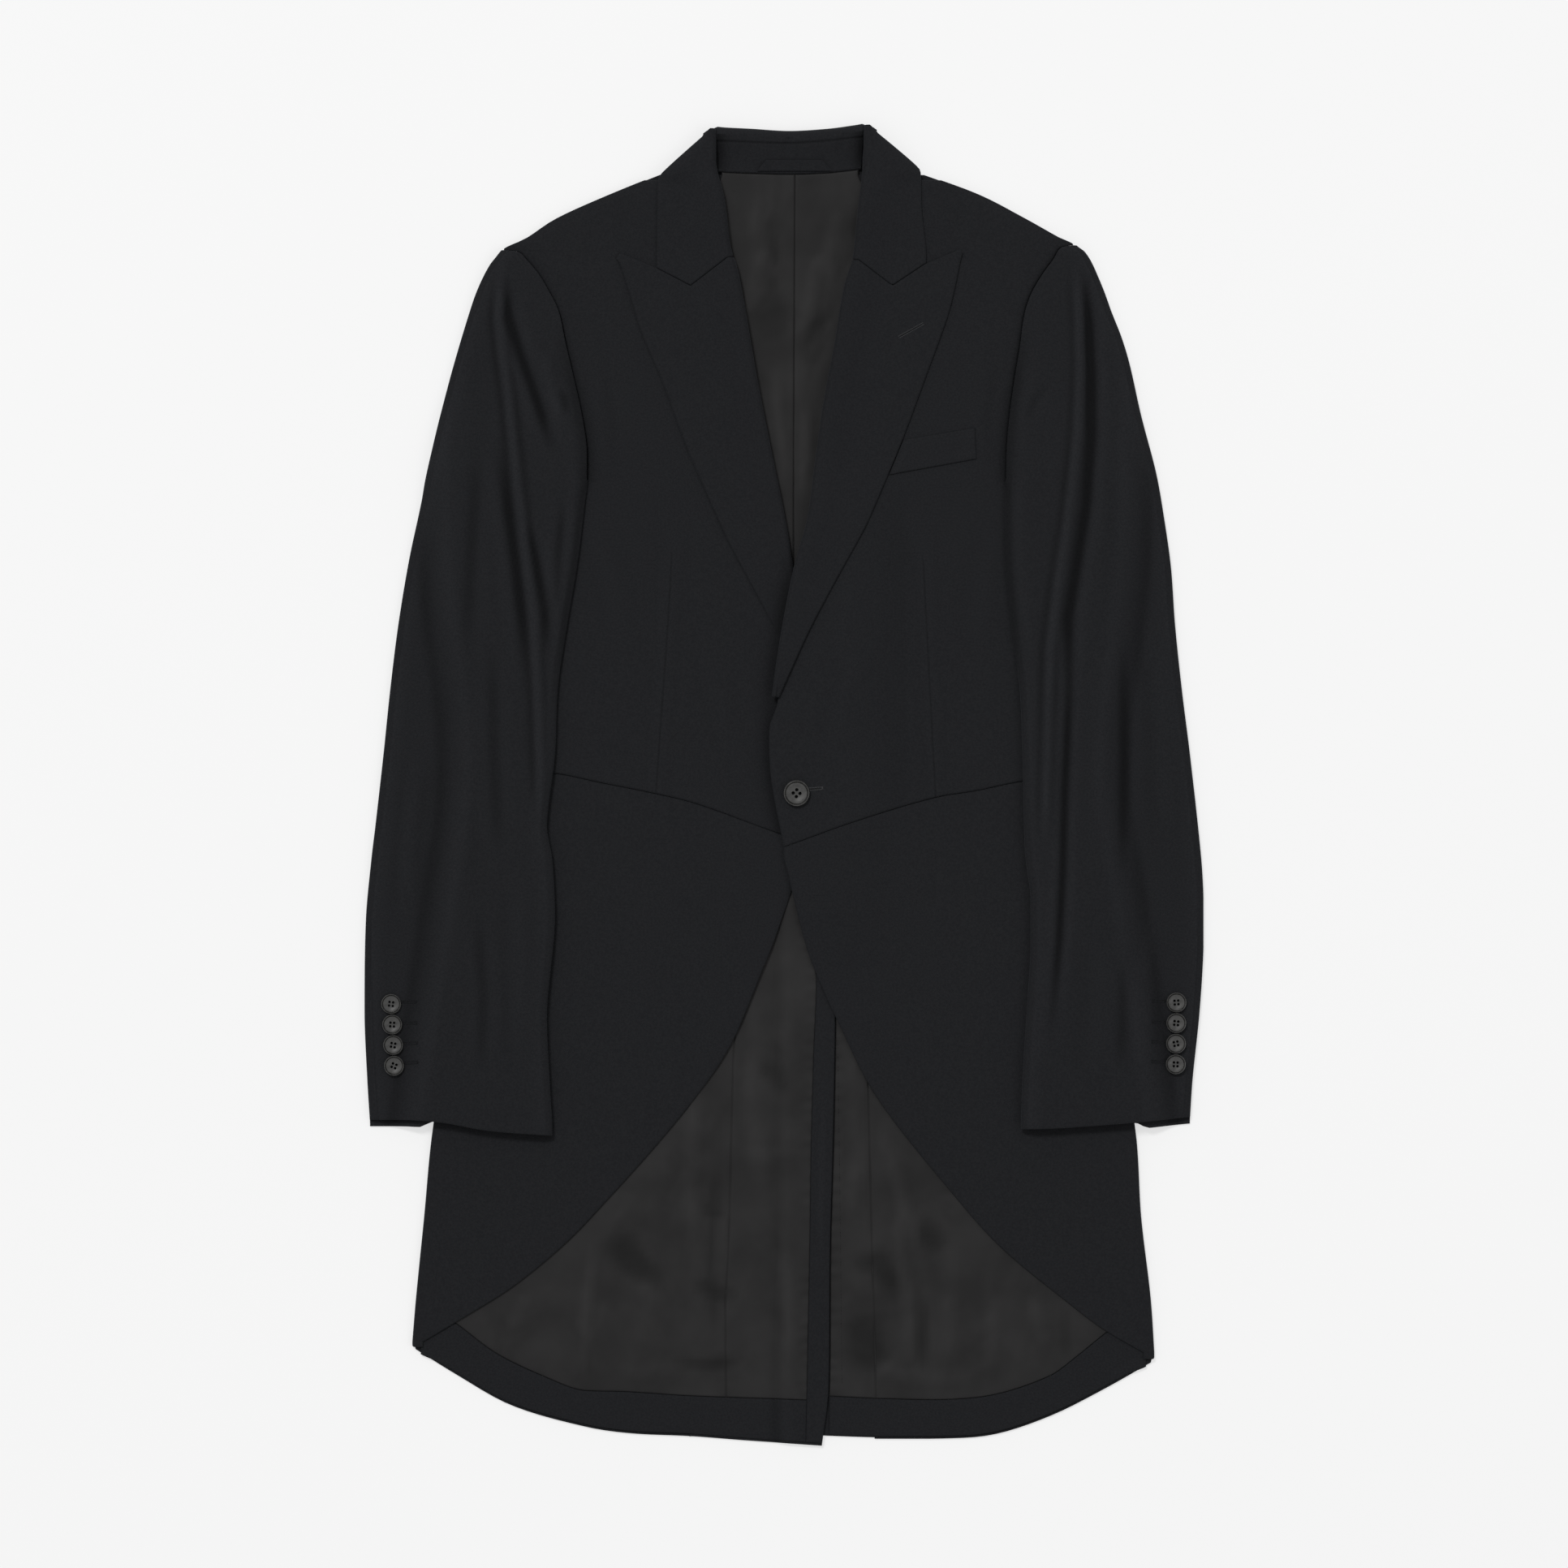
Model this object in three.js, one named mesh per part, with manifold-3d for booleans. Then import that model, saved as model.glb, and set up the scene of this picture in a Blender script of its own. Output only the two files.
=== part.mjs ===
// A single-button morning coat, laid flat with its front up.
// Millimetres. X runs across the coat, Y towards the collar, Z up from the surface it lies on.
// Left and right are as seen from above, with the collar at the top.
// Every panel is a wall of cloth between a lower and an upper face, 0.3 mm clear of the next.

import * as THREE from 'three';
import Module from 'manifold-3d';

const wasm = await Module();
wasm.setup();

// Driving sizes.
const GAP = 0.3;
const SEAM = GAP / 2;
const WOOL = 1.6;
const FRONT = 2.2;
const LAPEL = 2.0;
const SLEEVE = 1.5;
const LINING = 1.0;
const FACING = 1.2;
const WELT = 1.2;
const LOOP = 1.2;

// Heights of the layers, bottom up. A hollow between two layers stays under 4 mm.
const SHELL_TOP = WOOL;
const LINING_UNDER = SHELL_TOP + GAP;
const LINING_TOP = LINING_UNDER + LINING;
const EASE = 0.2;
const FRONT_UNDER = LINING_TOP + GAP + EASE;
const CHEST_RISE = 1.5;
const NECK_RISE = WOOL + GAP + EASE / 2;
const VENT_RISE = WOOL + GAP;
const CROSSING_RISE = 6.2;
const SLEEVE_CLEAR = 0.5;

const black = { color: 0x222325, roughness: 0.92, metalness: 0 };
const satin = { color: 0x2b2a2b, roughness: 0.45, metalness: 0 };
const horn = { color: 0x2a2a2a, roughness: 0.4, metalness: 0 };

const coat = new THREE.Group();

// Helpers for curves.
const clamp = (v, low, high) => Math.min(high, Math.max(low, v));
const smooth = (v) => {
  const u = clamp(v, 0, 1);
  return u * u * (3 - 2 * u);
};
const mix = (a, b, u) => a + (b - a) * u;
const round = (v) => {
  const u = clamp(v, 0, 1);
  return Math.sqrt(1 - (1 - u) * (1 - u));
};

// A smooth function of one column of a table by another.
function track(table, from, to) {
  const rows = [...table].sort((a, b) => a[from] - b[from]);
  const slope = rows.map((row, i) => {
    const a = rows[Math.max(i - 1, 0)];
    const b = rows[Math.min(i + 1, rows.length - 1)];
    return (b[to] - a[to]) / (b[from] - a[from]);
  });
  return (value) => {
    const v = clamp(value, rows[0][from], rows[rows.length - 1][from]);
    let i = 0;
    while (i < rows.length - 2 && v > rows[i + 1][from]) {
      i += 1;
    }
    const step = rows[i + 1][from] - rows[i][from];
    const u = (v - rows[i][from]) / step;
    const rise = rows[i + 1][to] - rows[i][to];
    const straight = rise / step;
    const steepest = 3 * Math.abs(straight);
    const limit = (s) => (s * straight <= 0 ? 0 : Math.sign(s) * Math.min(Math.abs(s), steepest));
    const a = limit(slope[i]) * step;
    const b = limit(slope[i + 1]) * step;
    return rows[i][to] + a * u + (3 * rise - 2 * a - b) * u * u + (a + b - 2 * rise) * u * u * u;
  };
}

const stopsBetween = (from, to, count) =>
  Array.from({ length: count + 1 }, (_, i) => mix(from, to, i / count));
const evenly = (edgeA, edgeB, count) => (y) => stopsBetween(edgeA(y), edgeB(y), count);

// A grid of plan points: a row for each level in stops, and in it the places that across(y) gives.
// With an end, the rows within reach of the last one bend so that the last one follows y = end(x).
const NO_END = { end: null, reach: 1 };
const END_PASSES = 3;
function planGrid(stops, across, { end, reach } = NO_END) {
  const home = stops[stops.length - 1];
  return stops.map((level) => {
    const weight = smooth(1 - Math.abs(level - home) / reach);
    return across(level).map((start, j) => {
      let [x, y] = [start, level];
      for (let pass = 0; end && pass < END_PASSES; pass += 1) {
        y = level + (end(x) - home) * weight;
        x = across(y)[j];
      }
      return [x, y];
    });
  });
}

// A closed wall between two grids of points, lower and upper.
function wall(name, lower, upper, finish) {
  const rows = lower.length;
  const columns = lower[0].length;
  const points = [...lower.flat(), ...upper.flat()];
  const at = (layer, i, j) => layer * rows * columns + i * columns + j;
  const faces = [];
  const quad = (a, b, c, d) => faces.push(a, b, c, a, c, d);
  for (let i = 0; i < rows - 1; i += 1) {
    for (let j = 0; j < columns - 1; j += 1) {
      quad(at(1, i, j), at(1, i, j + 1), at(1, i + 1, j + 1), at(1, i + 1, j));
      quad(at(0, i, j), at(0, i + 1, j), at(0, i + 1, j + 1), at(0, i, j + 1));
    }
  }
  for (let j = 0; j < columns - 1; j += 1) {
    quad(at(1, 0, j), at(0, 0, j), at(0, 0, j + 1), at(1, 0, j + 1));
    quad(at(1, rows - 1, j), at(1, rows - 1, j + 1), at(0, rows - 1, j + 1), at(0, rows - 1, j));
  }
  for (let i = 0; i < rows - 1; i += 1) {
    quad(at(1, i, 0), at(1, i + 1, 0), at(0, i + 1, 0), at(0, i, 0));
    quad(at(1, i, columns - 1), at(0, i, columns - 1), at(0, i + 1, columns - 1), at(1, i + 1, columns - 1));
  }
  let volume = 0;
  for (let f = 0; f < faces.length; f += 3) {
    const [a, b, c] = [points[faces[f]], points[faces[f + 1]], points[faces[f + 2]]];
    volume += a.clone().cross(b).dot(c);
  }
  if (volume < 0) {
    faces.reverse();
  }
  const geometry = new THREE.BufferGeometry();
  const numbers = points.flatMap((p) => [p.x, p.y, p.z]);
  geometry.setAttribute('position', new THREE.Float32BufferAttribute(numbers, 3));
  geometry.setIndex(faces);
  geometry.computeVertexNormals();
  const mesh = new THREE.Mesh(geometry, new THREE.MeshStandardMaterial(finish));
  mesh.name = name;
  coat.add(mesh);
  return mesh;
}

// A panel that lies on what is below it: its lower face is under(x, y).
function panel(name, grid, under, thick, finish) {
  const lower = grid.map((row) => row.map(([x, y]) => new THREE.Vector3(x, y, under(x, y))));
  const upper = lower.map((row) => row.map((p) => new THREE.Vector3(p.x, p.y, p.z + thick)));
  return wall(name, lower, upper, finish);
}

// A wall of even thickness round a grid of middle points, for cloth that turns over.
function turned(name, middle, thick, finish) {
  const rows = middle.length;
  const columns = middle[0].length;
  const normal = (i, j) => {
    const along = middle[Math.min(i + 1, rows - 1)][j].clone().sub(middle[Math.max(i - 1, 0)][j]);
    const across = middle[i][Math.min(j + 1, columns - 1)].clone().sub(middle[i][Math.max(j - 1, 0)]);
    return across.cross(along).normalize().multiplyScalar(thick / 2);
  };
  const lower = middle.map((row, i) => row.map((p, j) => p.clone().sub(normal(i, j))));
  const upper = middle.map((row, i) => row.map((p, j) => p.clone().add(normal(i, j))));
  return wall(name, lower, upper, finish);
}

// Outlines, one table for each side and one row for each level. x is the distance across.
const SIDE = {
  left: [
    { y: 198, x: -239 },
    { y: 150, x: -236 },
    { y: 10, x: -222 },
    { y: -98, x: -236 },
    { y: -258, x: -260 },
    { y: -320, x: -266 },
    { y: -380, x: -272 },
    { y: -416, x: -275 },
  ],
  right: [
    { y: 198, x: 239 },
    { y: 150, x: 236 },
    { y: 10, x: 222 },
    { y: -98, x: 236 },
    { y: -258, x: 260 },
    { y: -320, x: 264 },
    { y: -380, x: 271 },
    { y: -425, x: 274 },
  ],
};

// The shoulder line, then the armhole seam down to the underarm.
const SHOULDER = {
  left: [
    { y: 452, x: -88 },
    { y: 436, x: -128 },
    { y: 418, x: -168 },
    { y: 403, x: -191 },
    { y: 394.8, x: -207.5 },
    { y: 393.4, x: -197 },
    { y: 388, x: -190.5 },
    { y: 376, x: -180.5 },
    { y: 365, x: -174 },
    { y: 350, x: -166.5 },
    { y: 325, x: -161 },
    { y: 302, x: -155.5 },
    { y: 272, x: -149 },
    { y: 247, x: -145.5 },
    { y: 224, x: -145.5 },
    { y: 212, x: -178 },
    { y: 204, x: -216 },
    { y: 198, x: -239 },
  ],
  right: [
    { y: 452, x: 99 },
    { y: 436, x: 143 },
    { y: 418, x: 178 },
    { y: 404, x: 203 },
    { y: 398.4, x: 214 },
    { y: 396.6, x: 205 },
    { y: 388, x: 199 },
    { y: 374, x: 189 },
    { y: 360, x: 181.4 },
    { y: 345, x: 177 },
    { y: 323, x: 174 },
    { y: 302, x: 170.5 },
    { y: 277, x: 167 },
    { y: 250, x: 164.5 },
    { y: 224, x: 164 },
    { y: 212, x: 184 },
    { y: 204, x: 218 },
    { y: 198, x: 239 },
  ],
};

// The roll of each lapel and collar leaf, then the front edge down to the waist.
const ROLL = {
  left: [
    { y: 486, x: -50 },
    { y: 458, x: -50 },
    { y: 433, x: -44 },
    { y: 398, x: -39 },
    { y: 375, x: -33 },
    { y: 342, x: -27 },
    { y: 296, x: -19 },
    { y: 245, x: -9 },
    { y: 196, x: 1 },
    { y: 160, x: 7 },
    { y: 107, x: 16 },
    { y: 50, x: 24 },
    { y: 8, x: 27 },
    { y: -17, x: 23 },
    { y: -51, x: 15 },
  ],
  right: [
    { y: 488, x: 59 },
    { y: 455, x: 58 },
    { y: 422, x: 54 },
    { y: 388, x: 50 },
    { y: 367, x: 44 },
    { y: 325, x: 37 },
    { y: 276, x: 28 },
    { y: 232, x: 22 },
    { y: 196, x: 17 },
    { y: 159, x: 7 },
    { y: 107, x: -3 },
    { y: 56, x: -10 },
    { y: 31, x: -11 },
    { y: 8, x: -10 },
    { y: -17, x: -6 },
    { y: -51, x: 1 },
  ],
};

// The cutaway front edge of each skirt.
const CUTAWAY = {
  left: [
    { y: -36, x: 19 },
    { y: -65, x: 10 },
    { y: -98, x: -1 },
    { y: -133, x: -14 },
    { y: -212, x: -51 },
    { y: -325, x: -147 },
    { y: -369, x: -197 },
    { y: -398, x: -243 },
    { y: -414, x: -270 },
  ],
  right: [
    { y: -36, x: -3 },
    { y: -51, x: 1 },
    { y: -78, x: 6 },
    { y: -119, x: 16 },
    { y: -143, x: 25 },
    { y: -174, x: 39 },
    { y: -232, x: 69 },
    { y: -308, x: 129 },
    { y: -344, x: 162 },
    { y: -385, x: 212 },
    { y: -403, x: 236 },
    { y: -422, x: 269 },
  ],
};

const LAPEL_EDGE = {
  left: [
    { y: 388, x: -124 },
    { y: 361, x: -114 },
    { y: 334, x: -105 },
    { y: 295, x: -89 },
    { y: 249, x: -72 },
    { y: 196, x: -49 },
    { y: 175, x: -39 },
    { y: 107, x: -3 },
    { y: 62, x: 15 },
  ],
  right: [
    { y: 391, x: 132 },
    { y: 368, x: 127 },
    { y: 349, x: 122 },
    { y: 332, x: 116 },
    { y: 296, x: 103 },
    { y: 253, x: 87 },
    { y: 196, x: 63 },
    { y: 184, x: 57 },
    { y: 148, x: 37 },
    { y: 112, x: 18 },
    { y: 79, x: 3 },
    { y: 62, x: -4.5 },
  ],
};

// The upper edge of each lapel, from its point through the notch to the gorge.
const GORGE = {
  left: [
    { x: -124, y: 388.5 },
    { x: -121, y: 392.4 },
    { x: -94, y: 381 },
    { x: -69, y: 368 },
    { x: -40, y: 390 },
  ],
  right: [
    { x: 52, y: 389 },
    { x: 80, y: 368 },
    { x: 104, y: 384 },
    { x: 130, y: 395 },
    { x: 133, y: 391.5 },
  ],
};

const LEAF_EDGE = {
  left: [
    { y: 486, x: -51 },
    { y: 451, x: -90 },
    { y: 446, x: -93 },
    { y: 381, x: -94 },
  ],
  right: [
    { y: 488, x: 60 },
    { y: 455, x: 99 },
    { y: 450, x: 101 },
    { y: 411, x: 102 },
    { y: 384, x: 105 },
  ],
};

const WAIST = {
  left: [
    { x: -223, y: 10 },
    { x: -170, y: 8 },
    { x: -135, y: 1 },
    { x: -95, y: -7 },
    { x: -63, y: -15 },
    { x: -3, y: -37 },
    { x: 28, y: -47 },
  ],
  right: [
    { x: -4, y: -47 },
    { x: 1, y: -46 },
    { x: 51, y: -28 },
    { x: 111, y: -10 },
    { x: 141, y: -5 },
    { x: 176, y: 2 },
    { x: 223, y: 6 },
  ],
};

const HEM = {
  left: [
    { x: -275, y: -416 },
    { x: -243, y: -436 },
    { x: -202, y: -459 },
    { x: -147, y: -475 },
    { x: -113, y: -480 },
    { x: -70, y: -482 },
    { x: -31, y: -485 },
    { x: 28, y: -489 },
  ],
  right: [
    { x: 12, y: -482 },
    { x: 70, y: -484 },
    { x: 111, y: -484 },
    { x: 154, y: -481 },
    { x: 197, y: -467 },
    { x: 237, y: -447 },
    { x: 274, y: -426 },
  ],
};

// The inner edge of the hem facing.
const HEM_FACING = {
  left: [
    { x: -275, y: -376 },
    { x: -243, y: -398 },
    { x: -212, y: -421 },
    { x: -172, y: -440 },
    { x: -149, y: -448 },
    { x: -117, y: -449 },
    { x: -70, y: -452 },
    { x: 16, y: -455 },
  ],
  right: [
    { x: 28, y: -452 },
    { x: 70, y: -454 },
    { x: 114, y: -455 },
    { x: 156, y: -451 },
    { x: 197, y: -437 },
    { x: 215, y: -424 },
    { x: 236, y: -407 },
    { x: 274, y: -378 },
  ],
};

// The strip down the vent: its left and right edges.
const VENT = [
  { y: -98, left: 16, right: 24 },
  { y: -143, left: 24, right: 38 },
  { y: -199, left: 22, right: 37.5 },
  { y: -272, left: 20, right: 36 },
  { y: -344, left: 19, right: 34 },
  { y: -447, left: 17, right: 33 },
  { y: -489, left: 16, right: 28 },
];

// The seam from the back of the armhole down to the hem, as a distance from the centre back.
const BACK_SEAM = [
  { y: 262, x: 144 },
  { y: 225, x: 126 },
  { y: 198, x: 109 },
  { y: 150, x: 84 },
  { y: 100, x: 66 },
  { y: 50, x: 52 },
  { y: 10, x: 46 },
  { y: -100, x: 50 },
  { y: -300, x: 61 },
  { y: -489, x: 70 },
];

// The sleeves: outer and inner edges, and how far the ridge stands from the outer one as a share.
const SLEEVES = {
  left: [
    { y: 394.2, outer: -208.8, inner: -206, ridge: 0.5 },
    { y: 393.1, outer: -209.8, inner: -197, ridge: 0.5 },
    { y: 389.5, outer: -212.6, inner: -192, ridge: 0.55 },
    { y: 383.4, outer: -217.4, inner: -186, ridge: 0.55 },
    { y: 371, outer: -224, inner: -177, ridge: 0.46 },
    { y: 356, outer: -230, inner: -169, ridge: 0.38 },
    { y: 310, outer: -244, inner: -157, ridge: 0.36 },
    { y: 272, outer: -254, inner: -150, ridge: 0.44 },
    { y: 247, outer: -260, inner: -146, ridge: 0.52 },
    { y: 225, outer: -265, inner: -145, ridge: 0.58 },
    { y: 208, outer: -268, inner: -147, ridge: 0.6 },
    { y: 166, outer: -277, inner: -152, ridge: 0.7 },
    { y: 118, outer: -285, inner: -160, ridge: 0.79 },
    { y: 70, outer: -291, inner: -167, ridge: 0.88 },
    { y: 22, outer: -296, inner: -169, ridge: 0.91 },
    { y: -31, outer: -302, inner: -175, ridge: 0.93 },
    { y: -56, outer: -305, inner: -171, ridge: 0.92 },
    { y: -100, outer: -309, inner: -169, ridge: 0.9 },
    { y: -170, outer: -310, inner: -175, ridge: 0.9 },
    { y: -218, outer: -308, inner: -173, ridge: 0.9 },
    { y: -250, outer: -306, inner: -171, ridge: 0.9 },
  ],
  right: [
    { y: 397.8, outer: 216.2, inner: 213, ridge: 0.5 },
    { y: 396.3, outer: 218, inner: 205, ridge: 0.5 },
    { y: 393.4, outer: 222, inner: 203, ridge: 0.5 },
    { y: 386, outer: 227, inner: 197, ridge: 0.55 },
    { y: 374, outer: 232.5, inner: 189, ridge: 0.5 },
    { y: 363, outer: 237, inner: 183, ridge: 0.42 },
    { y: 349, outer: 242, inner: 178, ridge: 0.38 },
    { y: 330, outer: 249.5, inner: 175, ridge: 0.4 },
    { y: 310, outer: 255.5, inner: 172, ridge: 0.42 },
    { y: 272, outer: 264, inner: 168, ridge: 0.47 },
    { y: 230, outer: 275, inner: 164, ridge: 0.54 },
    { y: 196, outer: 281, inner: 163, ridge: 0.6 },
    { y: 160, outer: 286, inner: 164, ridge: 0.66 },
    { y: 118, outer: 289, inner: 168, ridge: 0.7 },
    { y: 70, outer: 294, inner: 174, ridge: 0.72 },
    { y: 22, outer: 300, inner: 176, ridge: 0.74 },
    { y: -51, outer: 308, inner: 178, ridge: 0.78 },
    { y: -83, outer: 310, inner: 182, ridge: 0.8 },
    { y: -122, outer: 310, inner: 182, ridge: 0.82 },
    { y: -170, outer: 307, inner: 179, ridge: 0.85 },
    { y: -218, outer: 302, inner: 176, ridge: 0.88 },
    { y: -248, outer: 300, inner: 175, ridge: 0.9 },
  ],
};

const CUFF = {
  left: [
    { x: -310, y: -248 },
    { x: -278, y: -248 },
    { x: -252, y: -250 },
    { x: -218, y: -256 },
    { x: -165, y: -260 },
  ],
  right: [
    { x: 170, y: -255 },
    { x: 204, y: -254 },
    { x: 258, y: -250 },
    { x: 310, y: -245 },
  ],
};

// Heights.

// The coat's back is lifted by the collar's fall, which is folded under it at the neck.
const NECK_LIFT = { x: 4, half: 112, soft: 10, y: 414, rise: 14 };
const neckLift = (x, y) => {
  const across = smooth((NECK_LIFT.half - Math.abs(x - NECK_LIFT.x)) / NECK_LIFT.soft);
  return NECK_RISE * across * smooth((y - NECK_LIFT.y) / NECK_LIFT.rise);
};

// The left tail lies over the right one along the vent.
const VENT_TOP = -60;
const UNDERLAP = 11;
const FACING_INSET = 2;
const VENT_SOFT = { from: -8, wide: 12, above: 30, tall: 24 };
const ventLift = (x, y) => VENT_RISE * smooth((x - VENT_SOFT.from) / VENT_SOFT.wide)
  * smooth((VENT_TOP + VENT_SOFT.above - y) / VENT_SOFT.tall);

const sideOf = (side) => track(SIDE[side], 'y', 'x');
const SIDE_X = { left: sideOf('left'), right: sideOf('right') };
const shoulderX = { left: track(SHOULDER.left, 'y', 'x'), right: track(SHOULDER.right, 'y', 'x') };
const SHOULDER_ROWS = 5;
const shoulderY = {
  left: track(SHOULDER.left.slice(0, SHOULDER_ROWS), 'x', 'y'),
  right: track(SHOULDER.right.slice(0, SHOULDER_ROWS), 'x', 'y'),
};

// How far the front stands over the back: low at its edges, full over the chest.
const SIDE_ROUND = 9;
const SHOULDER_ROUND = 12;
const UNDERARM = 198;
const CHEST = { x: 112, y: 240, wide: 120, tall: 230 };
function frontUnder(side, x, y) {
  const fromSide = Math.abs(SIDE_X[side](y)) - Math.abs(x);
  const fromShoulder = shoulderY[side](x) - y;
  const sideShare = y < UNDERARM + 8 ? round((fromSide + 0.5) / SIDE_ROUND) : 1;
  const share = sideShare * round((fromShoulder + 1) / SHOULDER_ROUND);
  const [across, along] = [(Math.abs(x) - CHEST.x) / CHEST.wide, (y - CHEST.y) / CHEST.tall];
  const chest = Math.exp(-(across ** 2) - along ** 2);
  const full = FRONT_UNDER + CHEST_RISE * chest;
  return mix(LINING_UNDER, full, share) + neckLift(x, y);
}

// The right front crosses over the left one and its lapel.
const CROSSING = { clear: 40, soft: 50, top: 262, tall: 95 };
const crossing = (x, y) => CROSSING_RISE * smooth((CROSSING.clear + CROSSING.soft - x) / CROSSING.soft)
  * smooth((CROSSING.top - y) / CROSSING.tall);
const frontLift = (side, x, y) => frontUnder(side, x, y) + (side === 'right' ? crossing(x, y) : 0);

// The skirts keep the crossing only near the waist, and lie over the edge of the left tail.
const OVER_VENT = { rise: VENT_RISE + EASE, left: -70, right: 95, soft: 50, above: 40, tall: 24 };
const CROSSING_END = { y: -175, tall: 90 };
function skirtLift(side, x, y) {
  const ending = smooth((y - CROSSING_END.y) / CROSSING_END.tall);
  const cross = side === 'right' ? crossing(x, y) * ending : 0;
  const near = smooth((x - OVER_VENT.left) / OVER_VENT.soft) * smooth((OVER_VENT.right - x) / OVER_VENT.soft);
  return Math.max(cross, OVER_VENT.rise * near * smooth((VENT_TOP + OVER_VENT.above - y) / OVER_VENT.tall));
}

const sides = ['left', 'right'];
const sign = { left: -1, right: 1 };

// The back: two panels, seamed down the centre and open at the vent.
const CENTRE_BACK = [
  { y: 452, x: 8 },
  { y: 200, x: 7 },
  { y: 0, x: 8 },
  { y: -489, x: 12 },
];
const centreX = track(CENTRE_BACK, 'y', 'x');
const seamX = track(BACK_SEAM, 'y', 'x');
const ventLeft = track(VENT, 'y', 'left');
const ventRight = track(VENT, 'y', 'right');
const SHOULDER_LEVELS = {
  left: [436, 418, 403, 394.8, 393.4, 388, 376, 365, 350],
  right: [436, 418, 404, 398.4, 396.6, 388, 374, 360, 345],
};
const BACK_TOP = 450;
const BACK_ROWS = [302, 262, 224, 198, 150, 100, 50, 10, -36, -60, -76, -104, -143, -220, -300, -380, -430,
  -470];
const SIDE_BODY_TOP = 262;
// The back and side bodies reach a little way under the sleeves, below the shoulder's tip.
const UNDER_SLEEVE = 1.5;
const SHOULDER_TIP = 390;
const VENT_OPENING = 40;
const LIFT_STOPS = [-14, -8, -2, 4];
function backSide(side, y) {
  if (y > SIDE_BODY_TOP) {
    return shoulderX[side](y) + sign[side] * (y > SHOULDER_TIP ? -1 : UNDER_SLEEVE);
  }
  return sign[side] * (seamX(y) - SEAM);
}
function backCentre(side, y) {
  if (side === 'left') {
    const open = smooth((VENT_TOP - y) / VENT_OPENING);
    return mix(centreX(y) - SEAM, ventRight(y), open);
  }
  return mix(centreX(y) + SEAM, UNDERLAP, smooth((VENT_TOP - y) / VENT_OPENING));
}
for (const side of sides) {
  const hem = track(HEM[side], 'x', 'y');
  const across = (y) => {
    const [outer, inner] = [backSide(side, y), backCentre(side, y)];
    if (side === 'right') {
      return stopsBetween(outer, inner, 5);
    }
    return [outer, mix(outer, LIFT_STOPS[0], 0.5), ...LIFT_STOPS, inner];
  };
  const rows = [BACK_TOP, ...SHOULDER_LEVELS[side], ...BACK_ROWS];
  const end = (x) => hem(x) + (side === 'right' ? 1 : 0);
  const grid = planGrid(rows, across, { end, reach: VENT_OPENING });
  const under = (x, y) => neckLift(x, y) + (side === 'left' ? ventLift(x, y) : 0);
  panel(`back_${side}`, grid, under, WOOL, black);
}

// The side bodies, between the back and the foreparts, under the arm.
const SIDE_BODY_ROWS = [258, 240, 224, 212, 204, UNDERARM, 150, 100, 50, 10];
const bodySide = (side, y) => (y > UNDERARM ? shoulderX[side](y) : SIDE_X[side](y));
for (const side of sides) {
  const outer = (y) => bodySide(side, y) + sign[side] * (y > UNDERARM + 32 ? UNDER_SLEEVE : -SEAM);
  const inner = (y) => sign[side] * (seamX(y) + SEAM);
  panel(`side_body_${side}`, planGrid(SIDE_BODY_ROWS, evenly(outer, inner, 3)), () => 0, WOOL, black);
}

// The foreparts, from the shoulder to the waist seam. Each ends inside the roll of its lapel.
// A skirt has the same columns as its forepart along the waist seam.
const SKIRT_TOP_STEPS = 10;
const ROLL_BACK = 4.8;
const ROLL_END = { y: 40, tall: 20 };
const FORE_TOP = 446;
const FORE_ROWS = [325, 302, 280, 262, 240, 224, 214, 206, UNDERARM, 150, 100, 50, 16, -16];
const WAIST_REACH = 75;
const rollX = { left: track(ROLL.left, 'y', 'x'), right: track(ROLL.right, 'y', 'x') };
const waistEnds = {};
for (const side of sides) {
  const s = sign[side];
  const outer = (y) => bodySide(side, y) - s * SEAM;
  const inner = (y) => rollX[side](y) + s * ROLL_BACK * smooth((y - ROLL_END.y) / ROLL_END.tall);
  const waist = track(WAIST[side], 'x', 'y');
  const rows = [FORE_TOP, ...SHOULDER_LEVELS[side], ...FORE_ROWS];
  const across = evenly(outer, inner, SKIRT_TOP_STEPS);
  const grid = planGrid(rows, across, { end: (x) => waist(x) + SEAM, reach: WAIST_REACH });
  waistEnds[side] = grid[grid.length - 1].map(([x]) => x).reverse();
  panel(`forepart_${side}`, grid, (x, y) => frontLift(side, x, y), FRONT, black);
}

// The skirts: from the cutaway edge out to the side, round, and back beneath to the back seam.
const SKIRT_TURN_STEPS = 4;
const SKIRT_UNDER_STEPS = 4;
const SKIRT_MIDDLE = FRONT_UNDER + WOOL / 2;
// How closely the first rows of a skirt follow the waist seam.
const WAIST_FOLLOW = [1, 0.38];
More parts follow.
